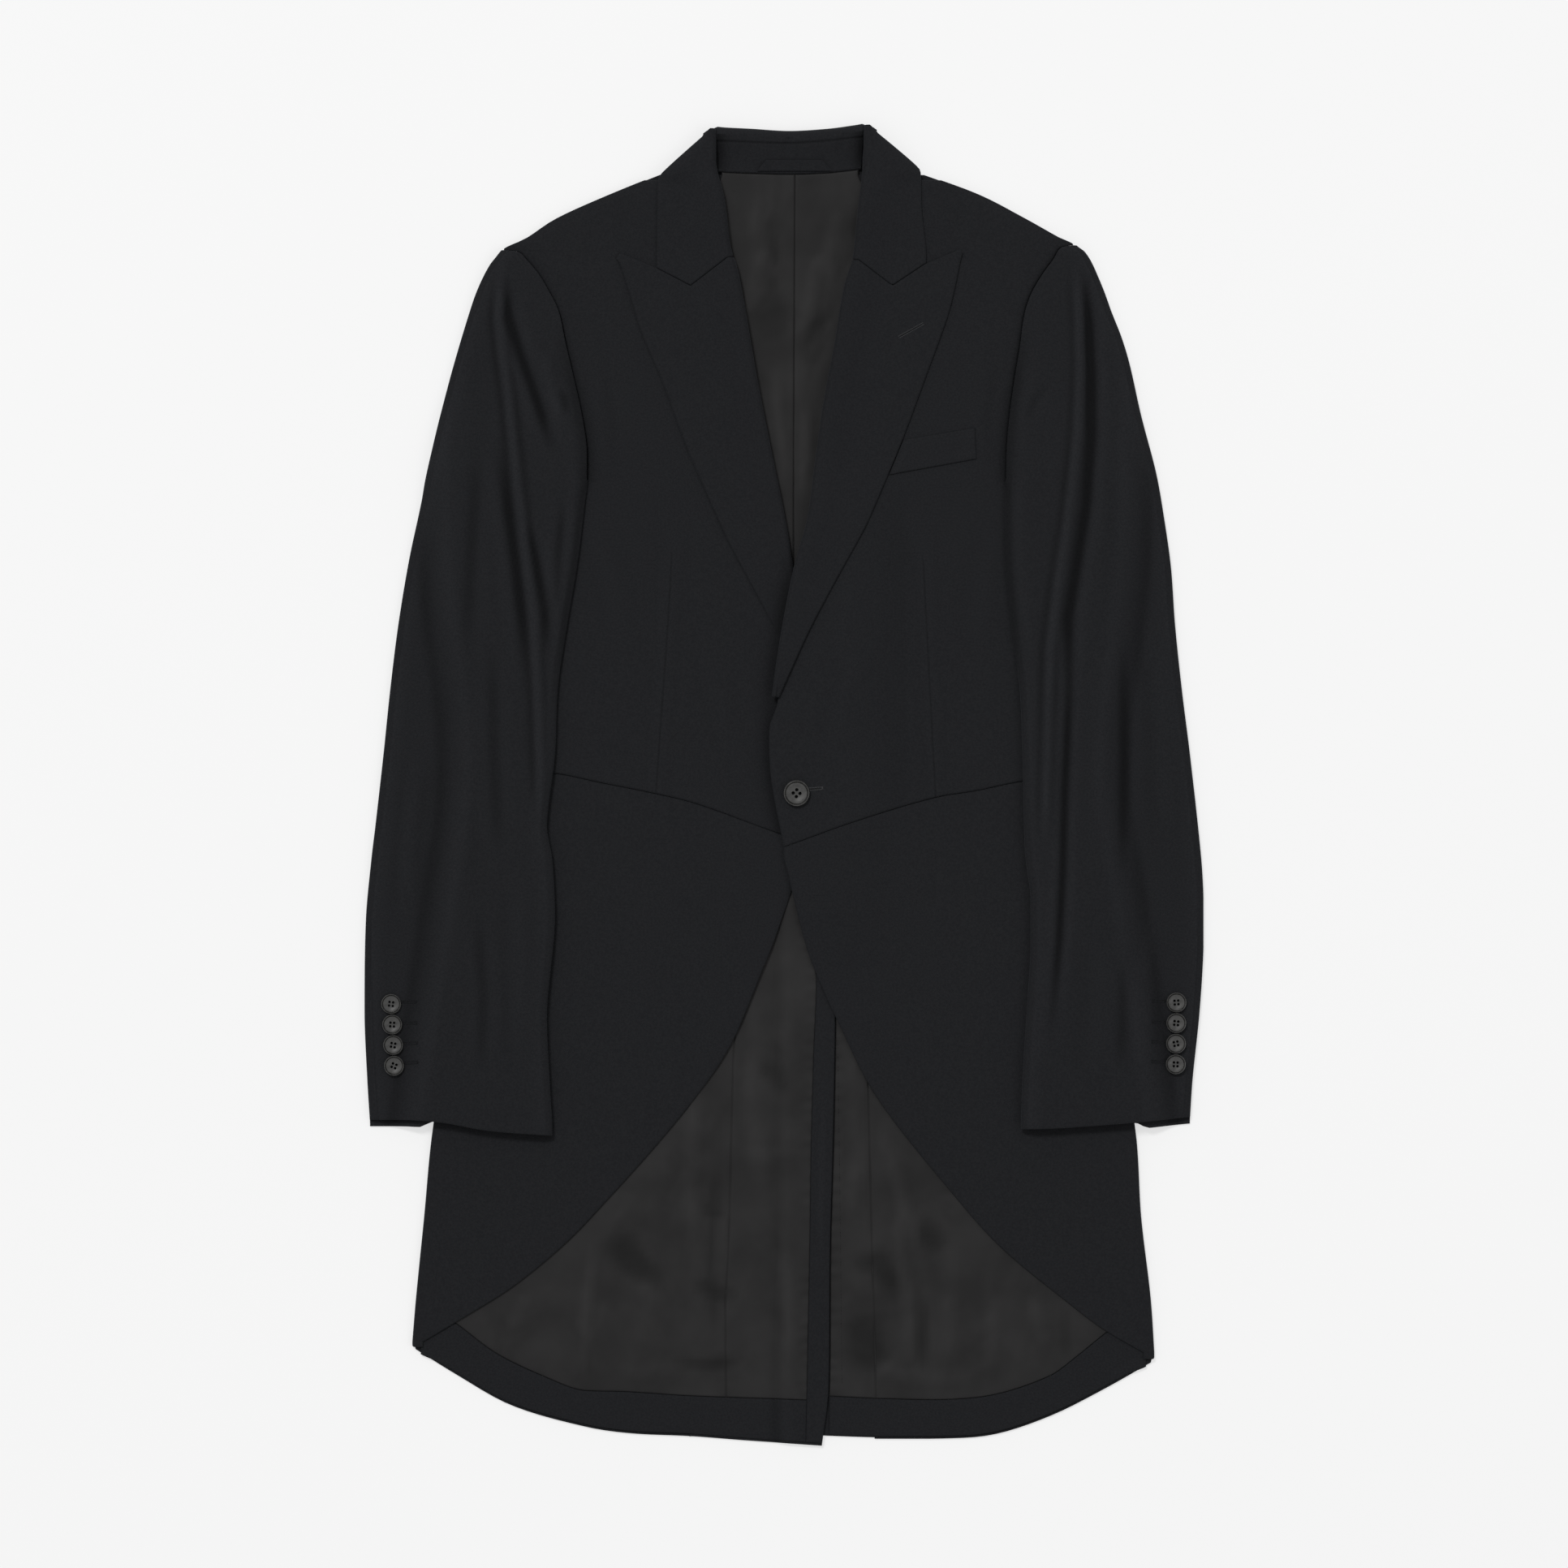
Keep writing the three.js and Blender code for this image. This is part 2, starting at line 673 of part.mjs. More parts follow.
// The last stretch of the fold, down to the corner of the hem.
const SKIRT_DROP = { left: 4, right: 5 };
const SKIRT_ROWS = {
  left: [-36, -62, -98, -133, -170, -212, -270, -325, -369, -398, -412],
  right: [-36, -62, -98, -133, -170, -212, -270, -325, -369, -403, -420],
};
for (const side of sides) {
  const s = sign[side];
  const edge = track(CUTAWAY[side], 'y', 'x');
  const waist = track(WAIST[side], 'x', 'y');
  const hem = track(HEM[side], 'x', 'y');
  const turn = (SKIRT_MIDDLE - WOOL / 2) / 2;
  const rows = SKIRT_ROWS[side];
  const ends = waistEnds[side];
  const fold = (y) => SIDE_X[side](y) - s * (turn + WOOL / 2);
  const middle = rows.map((y, i) => {
    const first = WAIST_FOLLOW[i] ?? 0;
    const atWaist = (x) => y + (waist(x) - SEAM - rows[0]) * first;
    const row = [];
    for (let k = 0; k < SKIRT_TOP_STEPS; k += 1) {
      const share = (ends[k] - ends[0]) / (ends[SKIRT_TOP_STEPS] - ends[0]);
      const x = i === 0 ? ends[k] : mix(edge(y), fold(y), share);
      row.push(new THREE.Vector3(x, atWaist(x), SKIRT_MIDDLE + skirtLift(side, x, atWaist(x))));
    }
    for (let k = 0; k <= SKIRT_TURN_STEPS; k += 1) {
      const angle = (Math.PI * k) / SKIRT_TURN_STEPS;
      const x = fold(y) + s * turn * Math.sin(angle);
      row.push(new THREE.Vector3(x, atWaist(x), WOOL / 2 + turn * (1 + Math.cos(angle))));
    }
    for (let k = 1; k <= SKIRT_UNDER_STEPS; k += 1) {
      const x = mix(fold(y), s * (seamX(y) + SEAM), k / SKIRT_UNDER_STEPS);
      row.push(new THREE.Vector3(x, mix(atWaist(x), SIDE_BODY_ROWS.at(-1) - SEAM, first), WOOL / 2));
    }
    return row;
  });
  const last = middle[middle.length - 1];
  for (const share of [0.5, 1]) {
    middle.push(last.map((p, j) => {
      const under = j >= SKIRT_TOP_STEPS + SKIRT_TURN_STEPS;
      const drop = under ? (hem(p.x) - p.y) * share : -SKIRT_DROP[side] * share;
      const out = j === last.length - 1 ? s * (seamX(p.y + drop) + GAP) - p.x : 0;
      return new THREE.Vector3(p.x + out, p.y + drop, p.z);
    }));
  }
  turned(`skirt_${side}`, middle, WOOL, black);
}

// Behind the neck: the seam at the foot of the collar's stand, the crease at its top, and the
// edge of the fall folded under. sink is how far the stand dips beside the leaf's roll.
const STAND = [
  { seamX: -48.4, seamY: 452.4, creaseX: -49.7, creaseY: 485.6, fallX: -84, fallY: 452, sink: 3 },
  { seamX: -41, seamY: 451.9, creaseX: -42, creaseY: 484.9, fallX: -72, fallY: 448, sink: 0.3 },
  { seamX: -21, seamY: 451.1, creaseX: -24, creaseY: 484, fallX: -44, fallY: 440, sink: 0 },
  { seamX: 4, seamY: 450.5, creaseX: 4, creaseY: 482.4, fallX: 4, fallY: 436, sink: 0 },
  { seamX: 30, seamY: 451.4, creaseX: 32, creaseY: 484, fallX: 54, fallY: 440, sink: 0 },
  { seamX: 50, seamY: 453.4, creaseX: 50.5, creaseY: 486.4, fallX: 81, fallY: 449, sink: 0.3 },
  { seamX: 57, seamY: 454.2, creaseX: 58.35, creaseY: 487.8, fallX: 93, fallY: 455, sink: 3 },
];
const neckSeam = track(STAND, 'seamX', 'seamY');

// The lining of the back, seen in the neck between the lapels.
const NECK_LINING = [
  { y: 449, left: -46, right: 55 },
  { y: 410, left: -62, right: 74 },
  { y: 340, left: -66, right: 78 },
  { y: 240, left: -52, right: 66 },
  { y: 120, left: -38, right: 52 },
  { y: 40, left: -36, right: 50 },
];
const NECK_REACH = 30;
const NECK_LINING_ROWS = [40, 110, 180, 250, 302, 350, 400, 418, 436, 449];
for (const side of sides) {
  const edge = track(NECK_LINING, 'y', side);
  const across = evenly(edge, (y) => centreX(y) + sign[side] * SEAM, 4);
  const grid = planGrid(NECK_LINING_ROWS, across, { end: (x) => neckSeam(x) - GAP, reach: NECK_REACH });
  panel(`lining_back_${side}`, grid, (x, y) => LINING_UNDER + neckLift(x, y), LINING, satin);
}

// The facing strip on the edge of the left tail, and the linings and hem facings of both tails.
const TAIL_LINING_TOP = -78;
const STRIP_ROWS = [-104, -143, -199, -272, -344, -400, -447, -481];
const tailUnder = (x, y) => LINING_UNDER + ventLift(x, y);
const leftHem = track(HEM.left, 'x', 'y');
const ventAcross = evenly((y) => ventLeft(y) + SEAM, (y) => ventRight(y) - EASE, 2);
const stripEnd = (x) => leftHem(x) + FACING_INSET;
const ventGrid = planGrid(STRIP_ROWS, ventAcross, { end: stripEnd, reach: NECK_REACH });
panel('vent_facing', ventGrid, tailUnder, FACING, black);

const LINING_INSET = 9;
const FACING_REACH = 210;
const TAIL_ROWS = [TAIL_LINING_TOP, -104, -143, -180, -220, -260, -300, -350, -410];
for (const side of sides) {
  const s = sign[side];
  const facing = track(HEM_FACING[side], 'x', 'y');
  const hem = track(HEM[side], 'x', 'y');
  const across = (y) => {
    const outer = SIDE_X[side](y) - s * LINING_INSET;
    if (side === 'right') {
      return stopsBetween(outer, ventRight(y) + 2 * GAP, 8);
    }
    return [...stopsBetween(outer, LIFT_STOPS[0], 6), ...LIFT_STOPS.slice(1), ventLeft(y) - SEAM];
  };
  const grid = planGrid(TAIL_ROWS, across, { end: (x) => facing(x) + SEAM, reach: FACING_REACH });
  const under = (x, y) => (side === 'left' ? tailUnder(x, y) : LINING_UNDER);
  panel(`lining_tail_${side}`, grid, under, LINING, satin);
  const band = grid[grid.length - 1].map(([x, top]) => {
    const bottom = hem(x) + FACING_INSET;
    return [0, 0.5, 1].map((u) => {
      const y = mix(top - GAP, bottom, u);
      return [side === 'left' ? Math.min(x, ventLeft(y) - SEAM) : x, y];
    });
  });
  panel(`hem_facing_${side}`, band, under, FACING, black);
}

// The lapels: from the outer edge in to the roll, over it and down to the forepart's edge.
const LAPEL_TURN_STEPS = 4;
const LAPEL_ROLL = [
  { y: 391, left: 4.5, right: 4.5 },
  { y: 300, left: 4.0, right: 4.0 },
  { y: 200, left: 2.0, right: 3.4 },
  { y: 147, left: 0.8, right: 2.6 },
  { y: 62, left: 0.3, right: 1.0 },
];
// Where the columns of a lapel and of a collar leaf lie along their top edges, from the gorge out.
const LAPEL_STOPS = {
  left: [-124, -121, -107, -94, -81, -69, -54],
  right: [133, 130, 117, 105, 92, 80, 66],
};
const LEAF_STOPS = { left: LAPEL_STOPS.left.slice(3), right: LAPEL_STOPS.right.slice(3) };
const GORGE_GAP = 0.4;
const GORGE_BEND = 9.5;
const ROLL_SOFT = 16;
const LIE = GAP + EASE / 2;
const TURN_END = Math.PI * 0.85;
const GORGE_LEVEL = 380;
const GORGE_REACH = 80;
const LAPEL_ROWS = [GORGE_LEVEL, 362, 345, 325, 300, 270, 240, 205, 170, 135, 105, 80, 64];
const onFront = (side, x, y) => frontLift(side, x, y) + FRONT + LIE + LAPEL / 2;
const lapelTurn = (rise) => (FRONT / 2 + LIE + LAPEL / 2 + rise) / 2;
const crestOf = (side, y, rise) => rollX[side](y) + sign[side] * (lapelTurn(rise) + LAPEL / 2);
// The same columns at any level, as shares of the way from the outer edge to the crest of the roll.
const topCrest = {
  left: crestOf('left', 390, LAPEL_ROLL[0].left),
  right: crestOf('right', 389, LAPEL_ROLL[0].right),
};
const sharesOf = (stops, side) => stops.map((x) => (x - stops[0]) / (topCrest[side] - stops[0]));
function lapelSection(side, outer, level, yAt) {
  const s = sign[side];
  const rise = track(LAPEL_ROLL, 'y', side)(level);
  const turn = lapelTurn(rise);
  const crest = crestOf(side, level, rise);
  const row = [];
  for (const share of sharesOf(LAPEL_STOPS[side], side)) {
    const x = mix(outer, crest, share);
    const lift = rise * Math.exp(-(((x - crest) / ROLL_SOFT) ** 2));
    row.push(new THREE.Vector3(x, yAt(x), onFront(side, x, yAt(x)) + lift));
  }
  const y = yAt(crest);
  const top = onFront(side, crest, y) + rise;
  for (let k = 0; k <= LAPEL_TURN_STEPS; k += 1) {
    const angle = (TURN_END * k) / LAPEL_TURN_STEPS;
    row.push(new THREE.Vector3(crest - s * turn * Math.sin(angle), y, top - turn * (1 - Math.cos(angle))));
  }
  return row;
}
for (const side of sides) {
  const edge = track(LAPEL_EDGE[side], 'y', 'x');
  const gorge = track(GORGE[side], 'x', 'y');
  const middle = LAPEL_ROWS.map((y) => {
    const weight = smooth(1 - (GORGE_LEVEL - y) / GORGE_REACH);
    const yAt = (x) => y + (gorge(x) - GORGE_GAP - GORGE_LEVEL) * weight;
    const outer = mix(edge(y), LAPEL_STOPS[side][0], weight);
    return lapelSection(side, outer, y + GORGE_BEND * weight, yAt);
  });
  turned(`lapel_${side}`, middle, LAPEL, black);
}

// The collar: a leaf on each side of the neck, and behind the neck its stand and fall.
const LEAF_END = 386;
const LEAF_REACH = 44;
const LEAF_ROWS = {
  left: [480, 472, 462, 450, 436, 418, 400, LEAF_END],
  right: [482.6, 474, 464, 452, 436, 418, 400, LEAF_END],
};
const LEAF_WIDTH = 5;
const LEAF_OPEN = { y: 440, tall: 14 };
// Its top edge falls from the crease behind the neck to its outer edge.
const LEAF_SLANT = 0.79;
const LEAF_SLANT_REACH = 30;
const LEAF_RISE = 4.5;
const LEAF_BEND = 4;
const LEAF_EDGE_ROUND = 14;
const LEAF_CREST = 6;
const LEAF_LOW = 4.6;
const LEAF_HIGH = 12.6;
for (const side of sides) {
  const s = sign[side];
  const edge = track(LEAF_EDGE[side], 'y', 'x');
  const gorge = track(GORGE[side], 'x', 'y');
  const turn = lapelTurn(LEAF_RISE);
  const middle = LEAF_ROWS[side].map((y) => {
    const weight = smooth((LEAF_END + LEAF_REACH - y) / LEAF_REACH);
    const crest = crestOf(side, y + LEAF_BEND * weight, LEAF_RISE);
    const topOut = Math.abs(crestOf(side, LEAF_ROWS[side][0], LEAF_RISE)) + LEAF_WIDTH;
    const slant = smooth(1 - (LEAF_ROWS[side][0] - y) / LEAF_SLANT_REACH);
    const yAt = (x) => y + (gorge(x) + GORGE_GAP - LEAF_END) * weight
      + LEAF_SLANT * Math.max(topOut - Math.abs(x), 0) * slant;
    const reach = Math.abs(mix(edge(y), LEAF_STOPS[side][0], weight));
    const outer = s * Math.max(reach, Math.abs(crest) + LEAF_WIDTH);
    const row = [];
    const height = (x) => {
      const shoulder = round((Math.abs(edge(y)) - Math.abs(x) + 2) / LEAF_EDGE_ROUND);
      const near = clamp(1 - Math.abs(x - crest) / LEAF_CREST, 0, 1);
      const lift = LEAF_RISE * Math.exp(-(((x - crest) / ROLL_SOFT) ** 2));
      const lying = onFront(side, x, Math.min(yAt(x), shoulderY[side](x) - 2));
      const open = smooth((y - LEAF_OPEN.y) / LEAF_OPEN.tall);
      return mix(lying + lift, mix(LEAF_LOW, LEAF_HIGH, Math.max(shoulder, near)), open);
    };
    for (const share of sharesOf(LEAF_STOPS[side], side)) {
      const x = mix(outer, crest, share);
      row.push(new THREE.Vector3(x, yAt(x), height(x)));
    }
    const top = height(crest);
    for (let k = 0; k <= LAPEL_TURN_STEPS; k += 1) {
      const angle = (TURN_END * k) / LAPEL_TURN_STEPS;
      const x = crest - s * turn * Math.sin(angle);
      row.push(new THREE.Vector3(x, yAt(crest), top - turn * (1 - Math.cos(angle))));
    }
    return row;
  });
  turned(`collar_leaf_${side}`, middle, LAPEL, black);
}

// From the neck seam up the stand, over the crease, and down the fall beneath.
const STAND_LOW = NECK_RISE + WOOL + GAP + WOOL / 2;
const STAND_HIGH = 9.6;
const standRow = (column) => track(STAND.map((row, i) => ({ i, v: row[column] })), 'i', 'v');
const stand = Object.fromEntries(Object.keys(STAND[0]).map((column) => [column, standRow(column)]));
const CREASE_RADIUS = (STAND_HIGH - WOOL / 2) / 2;
const RISE_STEPS = 4;
const CREASE_STEPS = 4;
const FALL_STEPS = 3;
const standMiddle = stopsBetween(0, STAND.length - 1, 12).map((i) => {
  const row = [];
  const crest = stand.creaseY(i) - CREASE_RADIUS - WOOL / 2;
  for (let k = 0; k < RISE_STEPS; k += 1) {
    const u = k / RISE_STEPS;
    const x = mix(stand.seamX(i), stand.creaseX(i), u);
    const z = mix(STAND_LOW, STAND_HIGH, smooth(u)) - stand.sink(i) * Math.sin(Math.PI * u);
    row.push(new THREE.Vector3(x, mix(stand.seamY(i), crest, u), z));
  }
  for (let k = 0; k <= CREASE_STEPS; k += 1) {
    const angle = (Math.PI * k) / CREASE_STEPS;
    const z = WOOL / 2 + CREASE_RADIUS * (1 + Math.cos(angle));
    row.push(new THREE.Vector3(stand.creaseX(i), crest + CREASE_RADIUS * Math.sin(angle), z));
  }
  for (let k = 1; k <= FALL_STEPS; k += 1) {
    const u = k / FALL_STEPS;
    const x = mix(stand.creaseX(i), stand.fallX(i), u);
    row.push(new THREE.Vector3(x, mix(crest, stand.fallY(i), u), WOOL / 2));
  }
  return row;
});
turned('collar_back', standMiddle, WOOL, black);

// The hanger loop, sewn across the stand at the neck seam.
const LOOP_ROWS = [
  { y: 452.6, left: -20, right: 36 },
  { y: 460.8, left: -13.5, right: 28 },
];
const standCentre = STAND[3];
const standTop = (y) => {
  const crest = standCentre.creaseY - CREASE_RADIUS - WOOL / 2;
  const u = clamp((y - standCentre.seamY) / (crest - standCentre.seamY), 0, 1);
  return mix(STAND_LOW, STAND_HIGH, smooth(u)) + WOOL / 2;
};
const loopAcross = evenly(track(LOOP_ROWS, 'y', 'left'), track(LOOP_ROWS, 'y', 'right'), 6);
const loopGrid = planGrid([452.6, 455.4, 458.2, 460.8], loopAcross);
panel('hanger_loop', loopGrid, (x, y) => standTop(y) + GAP + EASE, LOOP, black);

// The chest welt, on the right forepart.
const WELT_EDGE = [
  { left: { x: 76, y: 228 }, right: { x: 142, y: 240 } },
  { left: { x: 88, y: 254 }, right: { x: 141, y: 263 } },
];
const WELT_CLEAR = 0.7;
const lapelEdgeRight = track(LAPEL_EDGE.right, 'y', 'x');
const weltCorner = (side, axis, v) => mix(WELT_EDGE[0][side][axis], WELT_EDGE[1][side][axis], v);
const weltGrid = stopsBetween(0, 1, 3).map((v) => stopsBetween(0, 1, 6).map((u) => {
  const x = mix(weltCorner('left', 'x', v), weltCorner('right', 'x', v), u);
  const y = mix(weltCorner('left', 'y', v), weltCorner('right', 'y', v), u);
  return [Math.max(x, lapelEdgeRight(y) + WELT_CLEAR), y];
}));
panel('chest_welt', weltGrid, (x, y) => frontLift('right', x, y) + FRONT + GAP, WELT, black);

// The sleeves: an under sleeve, and a top sleeve over it. Both reach from edge to edge.
const SLEEVE_TOP = { left: [394.2, 393.1], right: [397.8, 396.3] };
const SLEEVE_ROWS = [388, 376, 362, 347, 325, 302, 280, 262, 240, 224, 214, 206, UNDERARM, 150, 100, 50, 0,
  -50, -100, -150, -200, -248];
const SLEEVE_STEPS = 9;
const SLEEVE_HOLLOW = 3.0;
const SLEEVE_ROUND = 13;
const SHOULDER_UNDER = 4.0;
const SHOULDER_FADE = { x: 250, wide: 70 };
const BODY_FADE = { x: 34, wide: 26, top: 262, tall: 34 };
const RIDGE = { high: 0.5, soft: 16 };
const UNDER_CUFF = { drop: 5, x: 258, soft: 12 };
const CUFF_REACH = 60;
function bodyUnder(side, x, y) {
  const over = Math.abs(SIDE_X[side](Math.min(y, UNDERARM))) - Math.abs(x);
  const lying = FRONT_UNDER + CHEST_RISE + FRONT + SLEEVE_CLEAR;
  const low = SHOULDER_UNDER * smooth((SHOULDER_FADE.x - Math.abs(x)) / SHOULDER_FADE.wide);
  const high = lying * smooth((over + BODY_FADE.x) / BODY_FADE.wide);
  return mix(low, high, smooth((BODY_FADE.top - y) / BODY_FADE.tall));
}
const ARMHOLE_END = 224;
const ARMHOLE_FADE = { above: 16, tall: 30 };
for (const side of sides) {
  const s = sign[side];
  const outer = track(SLEEVES[side], 'y', 'outer');
  const freeEdge = track(SLEEVES[side], 'y', 'inner');
  const ridge = track(SLEEVES[side], 'y', 'ridge');
  const cuff = track(CUFF[side], 'x', 'y');
  const inner = (y) => (y >= ARMHOLE_END ? shoulderX[side](y + GAP) + s * GAP : freeEdge(y));
  const across = evenly(outer, inner, SLEEVE_STEPS);
  const cuffUnder = (x) => cuff(x) - UNDER_CUFF.drop * smooth((Math.abs(x) - UNDER_CUFF.x) / UNDER_CUFF.soft);
  const rows = [...SLEEVE_TOP[side], ...SLEEVE_ROWS];
  const underGrid = planGrid(rows, across, { end: cuffUnder, reach: CUFF_REACH });
  panel(`under_sleeve_${side}`, underGrid, (x, y) => bodyUnder(side, x, y), SLEEVE, black);
  const topUnder = (x, y) => {
    const from = Math.abs(outer(y)) - Math.abs(x);
    const wide = Math.abs(outer(y)) - Math.abs(inner(y));
    const free = smooth((ARMHOLE_END + ARMHOLE_FADE.above - y) / ARMHOLE_FADE.tall);
    const innerShare = mix(1, round((wide - from) / SLEEVE_ROUND), free);
    const bulge = SLEEVE_HOLLOW * round(from / SLEEVE_ROUND) * innerShare;
    const crest = RIDGE.high * Math.exp(-(((from - wide * ridge(y)) / RIDGE.soft) ** 2)) * innerShare;
    return bodyUnder(side, x, y) + SLEEVE + GAP + bulge + crest;
  };
  const topGrid = planGrid(rows, across, { end: cuff, reach: CUFF_REACH });
  panel(`top_sleeve_${side}`, topGrid, topUnder, SLEEVE, black);
}

// The buttons: a turned disc with a rim and four holes.
const SEGMENTS = 16;
const HOLE_SEGMENTS = 5;
function solidOf(geometry, matrix) {
  const flat = geometry.toNonIndexed();
  const points = flat.getAttribute('position').array;
  const places = new Map();
  const vertices = [];
  const triangles = [];
  const moved = new THREE.Vector3();
  for (let i = 0; i < points.length; i += 3) {
    moved.set(points[i], points[i + 1], points[i + 2]).applyMatrix4(matrix);
    const key = [moved.x, moved.y, moved.z].map((v) => Math.round(v * 1e4)).join();
    if (!places.has(key)) {
      places.set(key, vertices.length / 3);
      vertices.push(moved.x, moved.y, moved.z);
    }
    triangles.push(places.get(key));
  }
  const kept = [];
  for (let i = 0; i < triangles.length; i += 3) {
    const [a, b, c] = triangles.slice(i, i + 3);
    if (a !== b && b !== c && a !== c) {
      kept.push(a, b, c);
    }
  }
  return new wasm.Manifold(new wasm.Mesh({
    numProp: 3, vertProperties: new Float32Array(vertices), triVerts: new Uint32Array(kept),
  }));
}
// The profile, as shares of the radius and of the thickness, and the holes as shares of the radius.
const BUTTON_PROFILE = [
  { r: 0, h: 0 },
  { r: 0.7, h: 0 },
  { r: 1, h: 0.45 },
  { r: 0.94, h: 1 },
  { r: 0.82, h: 1 },
  { r: 0.656, h: 0.72 },
  { r: 0, h: 0.72 },
];
const HOLES = { count: 4, reach: 0.285, radius: 0.105 };
function button(name, x, y, z, diameter, thick, turn) {
  const radius = diameter / 2;
  const profile = BUTTON_PROFILE.map(({ r, h }) => new THREE.Vector2(r * radius, h * thick));
  const lathe = new THREE.LatheGeometry(profile, SEGMENTS);
  const upright = new THREE.Matrix4().makeRotationX(Math.PI / 2);
  let solid = solidOf(lathe, upright);
  const size = radius * HOLES.radius;
  const reach = radius * HOLES.reach;
  for (let k = 0; k < HOLES.count; k += 1) {
    const angle = turn + (2 * Math.PI * k) / HOLES.count;
    const hole = new THREE.CylinderGeometry(size, size, thick * 3, HOLE_SEGMENTS);
    const [dx, dy] = [Math.cos(angle) * reach, Math.sin(angle) * reach];
    const place = new THREE.Matrix4().makeTranslation(dx, dy, 0).multiply(upright);
    solid = solid.subtract(solidOf(hole, place));
  }
  const cut = solid.getMesh();
  const geometry = new THREE.BufferGeometry();
  geometry.setAttribute('position', new THREE.BufferAttribute(new Float32Array(cut.vertProperties), 3));
  geometry.setIndex([...cut.triVerts]);
  geometry.computeVertexNormals();
  const mesh = new THREE.Mesh(geometry, new THREE.MeshStandardMaterial(horn));
  mesh.name = name;
  mesh.position.set(x, y, z);
  coat.add(mesh);
}

const FRONT_BUTTON = { x: 9.3, y: -6.8, diameter: 19.3, thick: 3.4, turn: 0.15 };
const CUFF_BUTTON = { diameter: 14.8, thick: 2.8 };
const CUFF_BUTTONS = {
  left: [
    { x: -290.0, y: -162.4 },
    { x: -289.2, y: -177.6 },
    { x: -288.5, y: -192.8 },
    { x: -287.8, y: -208.0 },
  ],
  right: [
    { x: 289.7, y: -161.3 },
    { x: 289.5, y: -176.5 },
    { x: 289.3, y: -191.7 },
    { x: 289.1, y: -206.9 },
  ],
};

// The highest point of a cloth mesh under a disc, from its middle and eight places round it.
const DOWN = new THREE.Vector3(0, 0, -1);
const ABOVE = 100;
function seatHeight(name, x, y, radius) {
  const mesh = coat.getObjectByName(name);
  const ray = new THREE.Raycaster();
  let high = 0;
  for (let k = 0; k <= 8; k += 1) {
    const reach = k === 0 ? 0 : radius;
    const angle = (Math.PI * k) / 4;
    ray.set(new THREE.Vector3(x + Math.cos(angle) * reach, y + Math.sin(angle) * reach, ABOVE), DOWN);
    const hit = ray.intersectObject(mesh)[0];
    high = Math.max(high, hit ? hit.point.z : 0);
  }
  return high;
}
// The seat of a button is the flat of its underside.
const SEAT = BUTTON_PROFILE[1].r;
const frontRadius = (FRONT_BUTTON.diameter * SEAT) / 2;
const cuffRadius = (CUFF_BUTTON.diameter * SEAT) / 2;
const frontSeat = seatHeight('forepart_right', FRONT_BUTTON.x, FRONT_BUTTON.y, frontRadius);
button('button_front', FRONT_BUTTON.x, FRONT_BUTTON.y, frontSeat + GAP, FRONT_BUTTON.diameter,
  FRONT_BUTTON.thick, FRONT_BUTTON.turn);
for (const side of sides) {
  CUFF_BUTTONS[side].forEach((place, i) => {
    const seat = seatHeight(`top_sleeve_${side}`, place.x, place.y, cuffRadius);
    button(`button_cuff_${side}_${i + 1}`, place.x, place.y, seat + GAP, CUFF_BUTTON.diameter,
      CUFF_BUTTON.thick, Math.PI / 4);
  });
}

export default coat;
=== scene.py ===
"""A single-button morning coat, laid flat with its front up.

Sizes are in millimetres until a mesh is made: X across, Y towards the collar, Z up.
Left and right are as seen from above, with the collar at the top.
"""

import math

import bpy
import numpy as np
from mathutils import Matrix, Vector


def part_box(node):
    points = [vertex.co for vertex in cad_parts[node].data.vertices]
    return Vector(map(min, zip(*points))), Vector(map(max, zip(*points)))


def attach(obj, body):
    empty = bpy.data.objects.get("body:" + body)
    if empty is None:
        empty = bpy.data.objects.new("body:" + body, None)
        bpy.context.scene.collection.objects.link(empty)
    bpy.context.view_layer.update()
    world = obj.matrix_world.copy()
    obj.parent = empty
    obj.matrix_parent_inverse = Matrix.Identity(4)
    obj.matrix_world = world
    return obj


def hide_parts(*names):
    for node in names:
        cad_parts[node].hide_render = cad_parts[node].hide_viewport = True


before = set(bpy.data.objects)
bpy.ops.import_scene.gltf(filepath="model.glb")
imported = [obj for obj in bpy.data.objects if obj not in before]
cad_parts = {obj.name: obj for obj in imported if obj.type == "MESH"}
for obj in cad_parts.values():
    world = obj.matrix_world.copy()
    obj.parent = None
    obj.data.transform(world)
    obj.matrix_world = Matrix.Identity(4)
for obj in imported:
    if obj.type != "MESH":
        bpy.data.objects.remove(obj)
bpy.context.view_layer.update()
MM = 0.001

# Driving sizes, the same as the solids'.
GAP = 0.3
SEAM = 0.04
WOOL = 1.6
FRONT = 2.2
LAPEL = 2.0
SLEEVE = 1.5
LINING = 1.0
FACING = 1.2
WELT = 1.2
LOOP = 1.2
LINING_UNDER = WOOL + GAP
LINING_TOP = LINING_UNDER + LINING
FRONT_UNDER = LINING_TOP + GAP + 0.2
CHEST_RISE = 1.5
NECK_RISE = WOOL + GAP + 0.1
VENT_RISE = WOOL + GAP
CROSSING_RISE = 6.2
SLEEVE_CLEAR = 0.5
SIDES = ("left", "right")
SIGN = {"left": -1, "right": 1}
# The column of each side in the tables whose rows hold both sides.
COLUMN = {"left": 1, "right": 2}

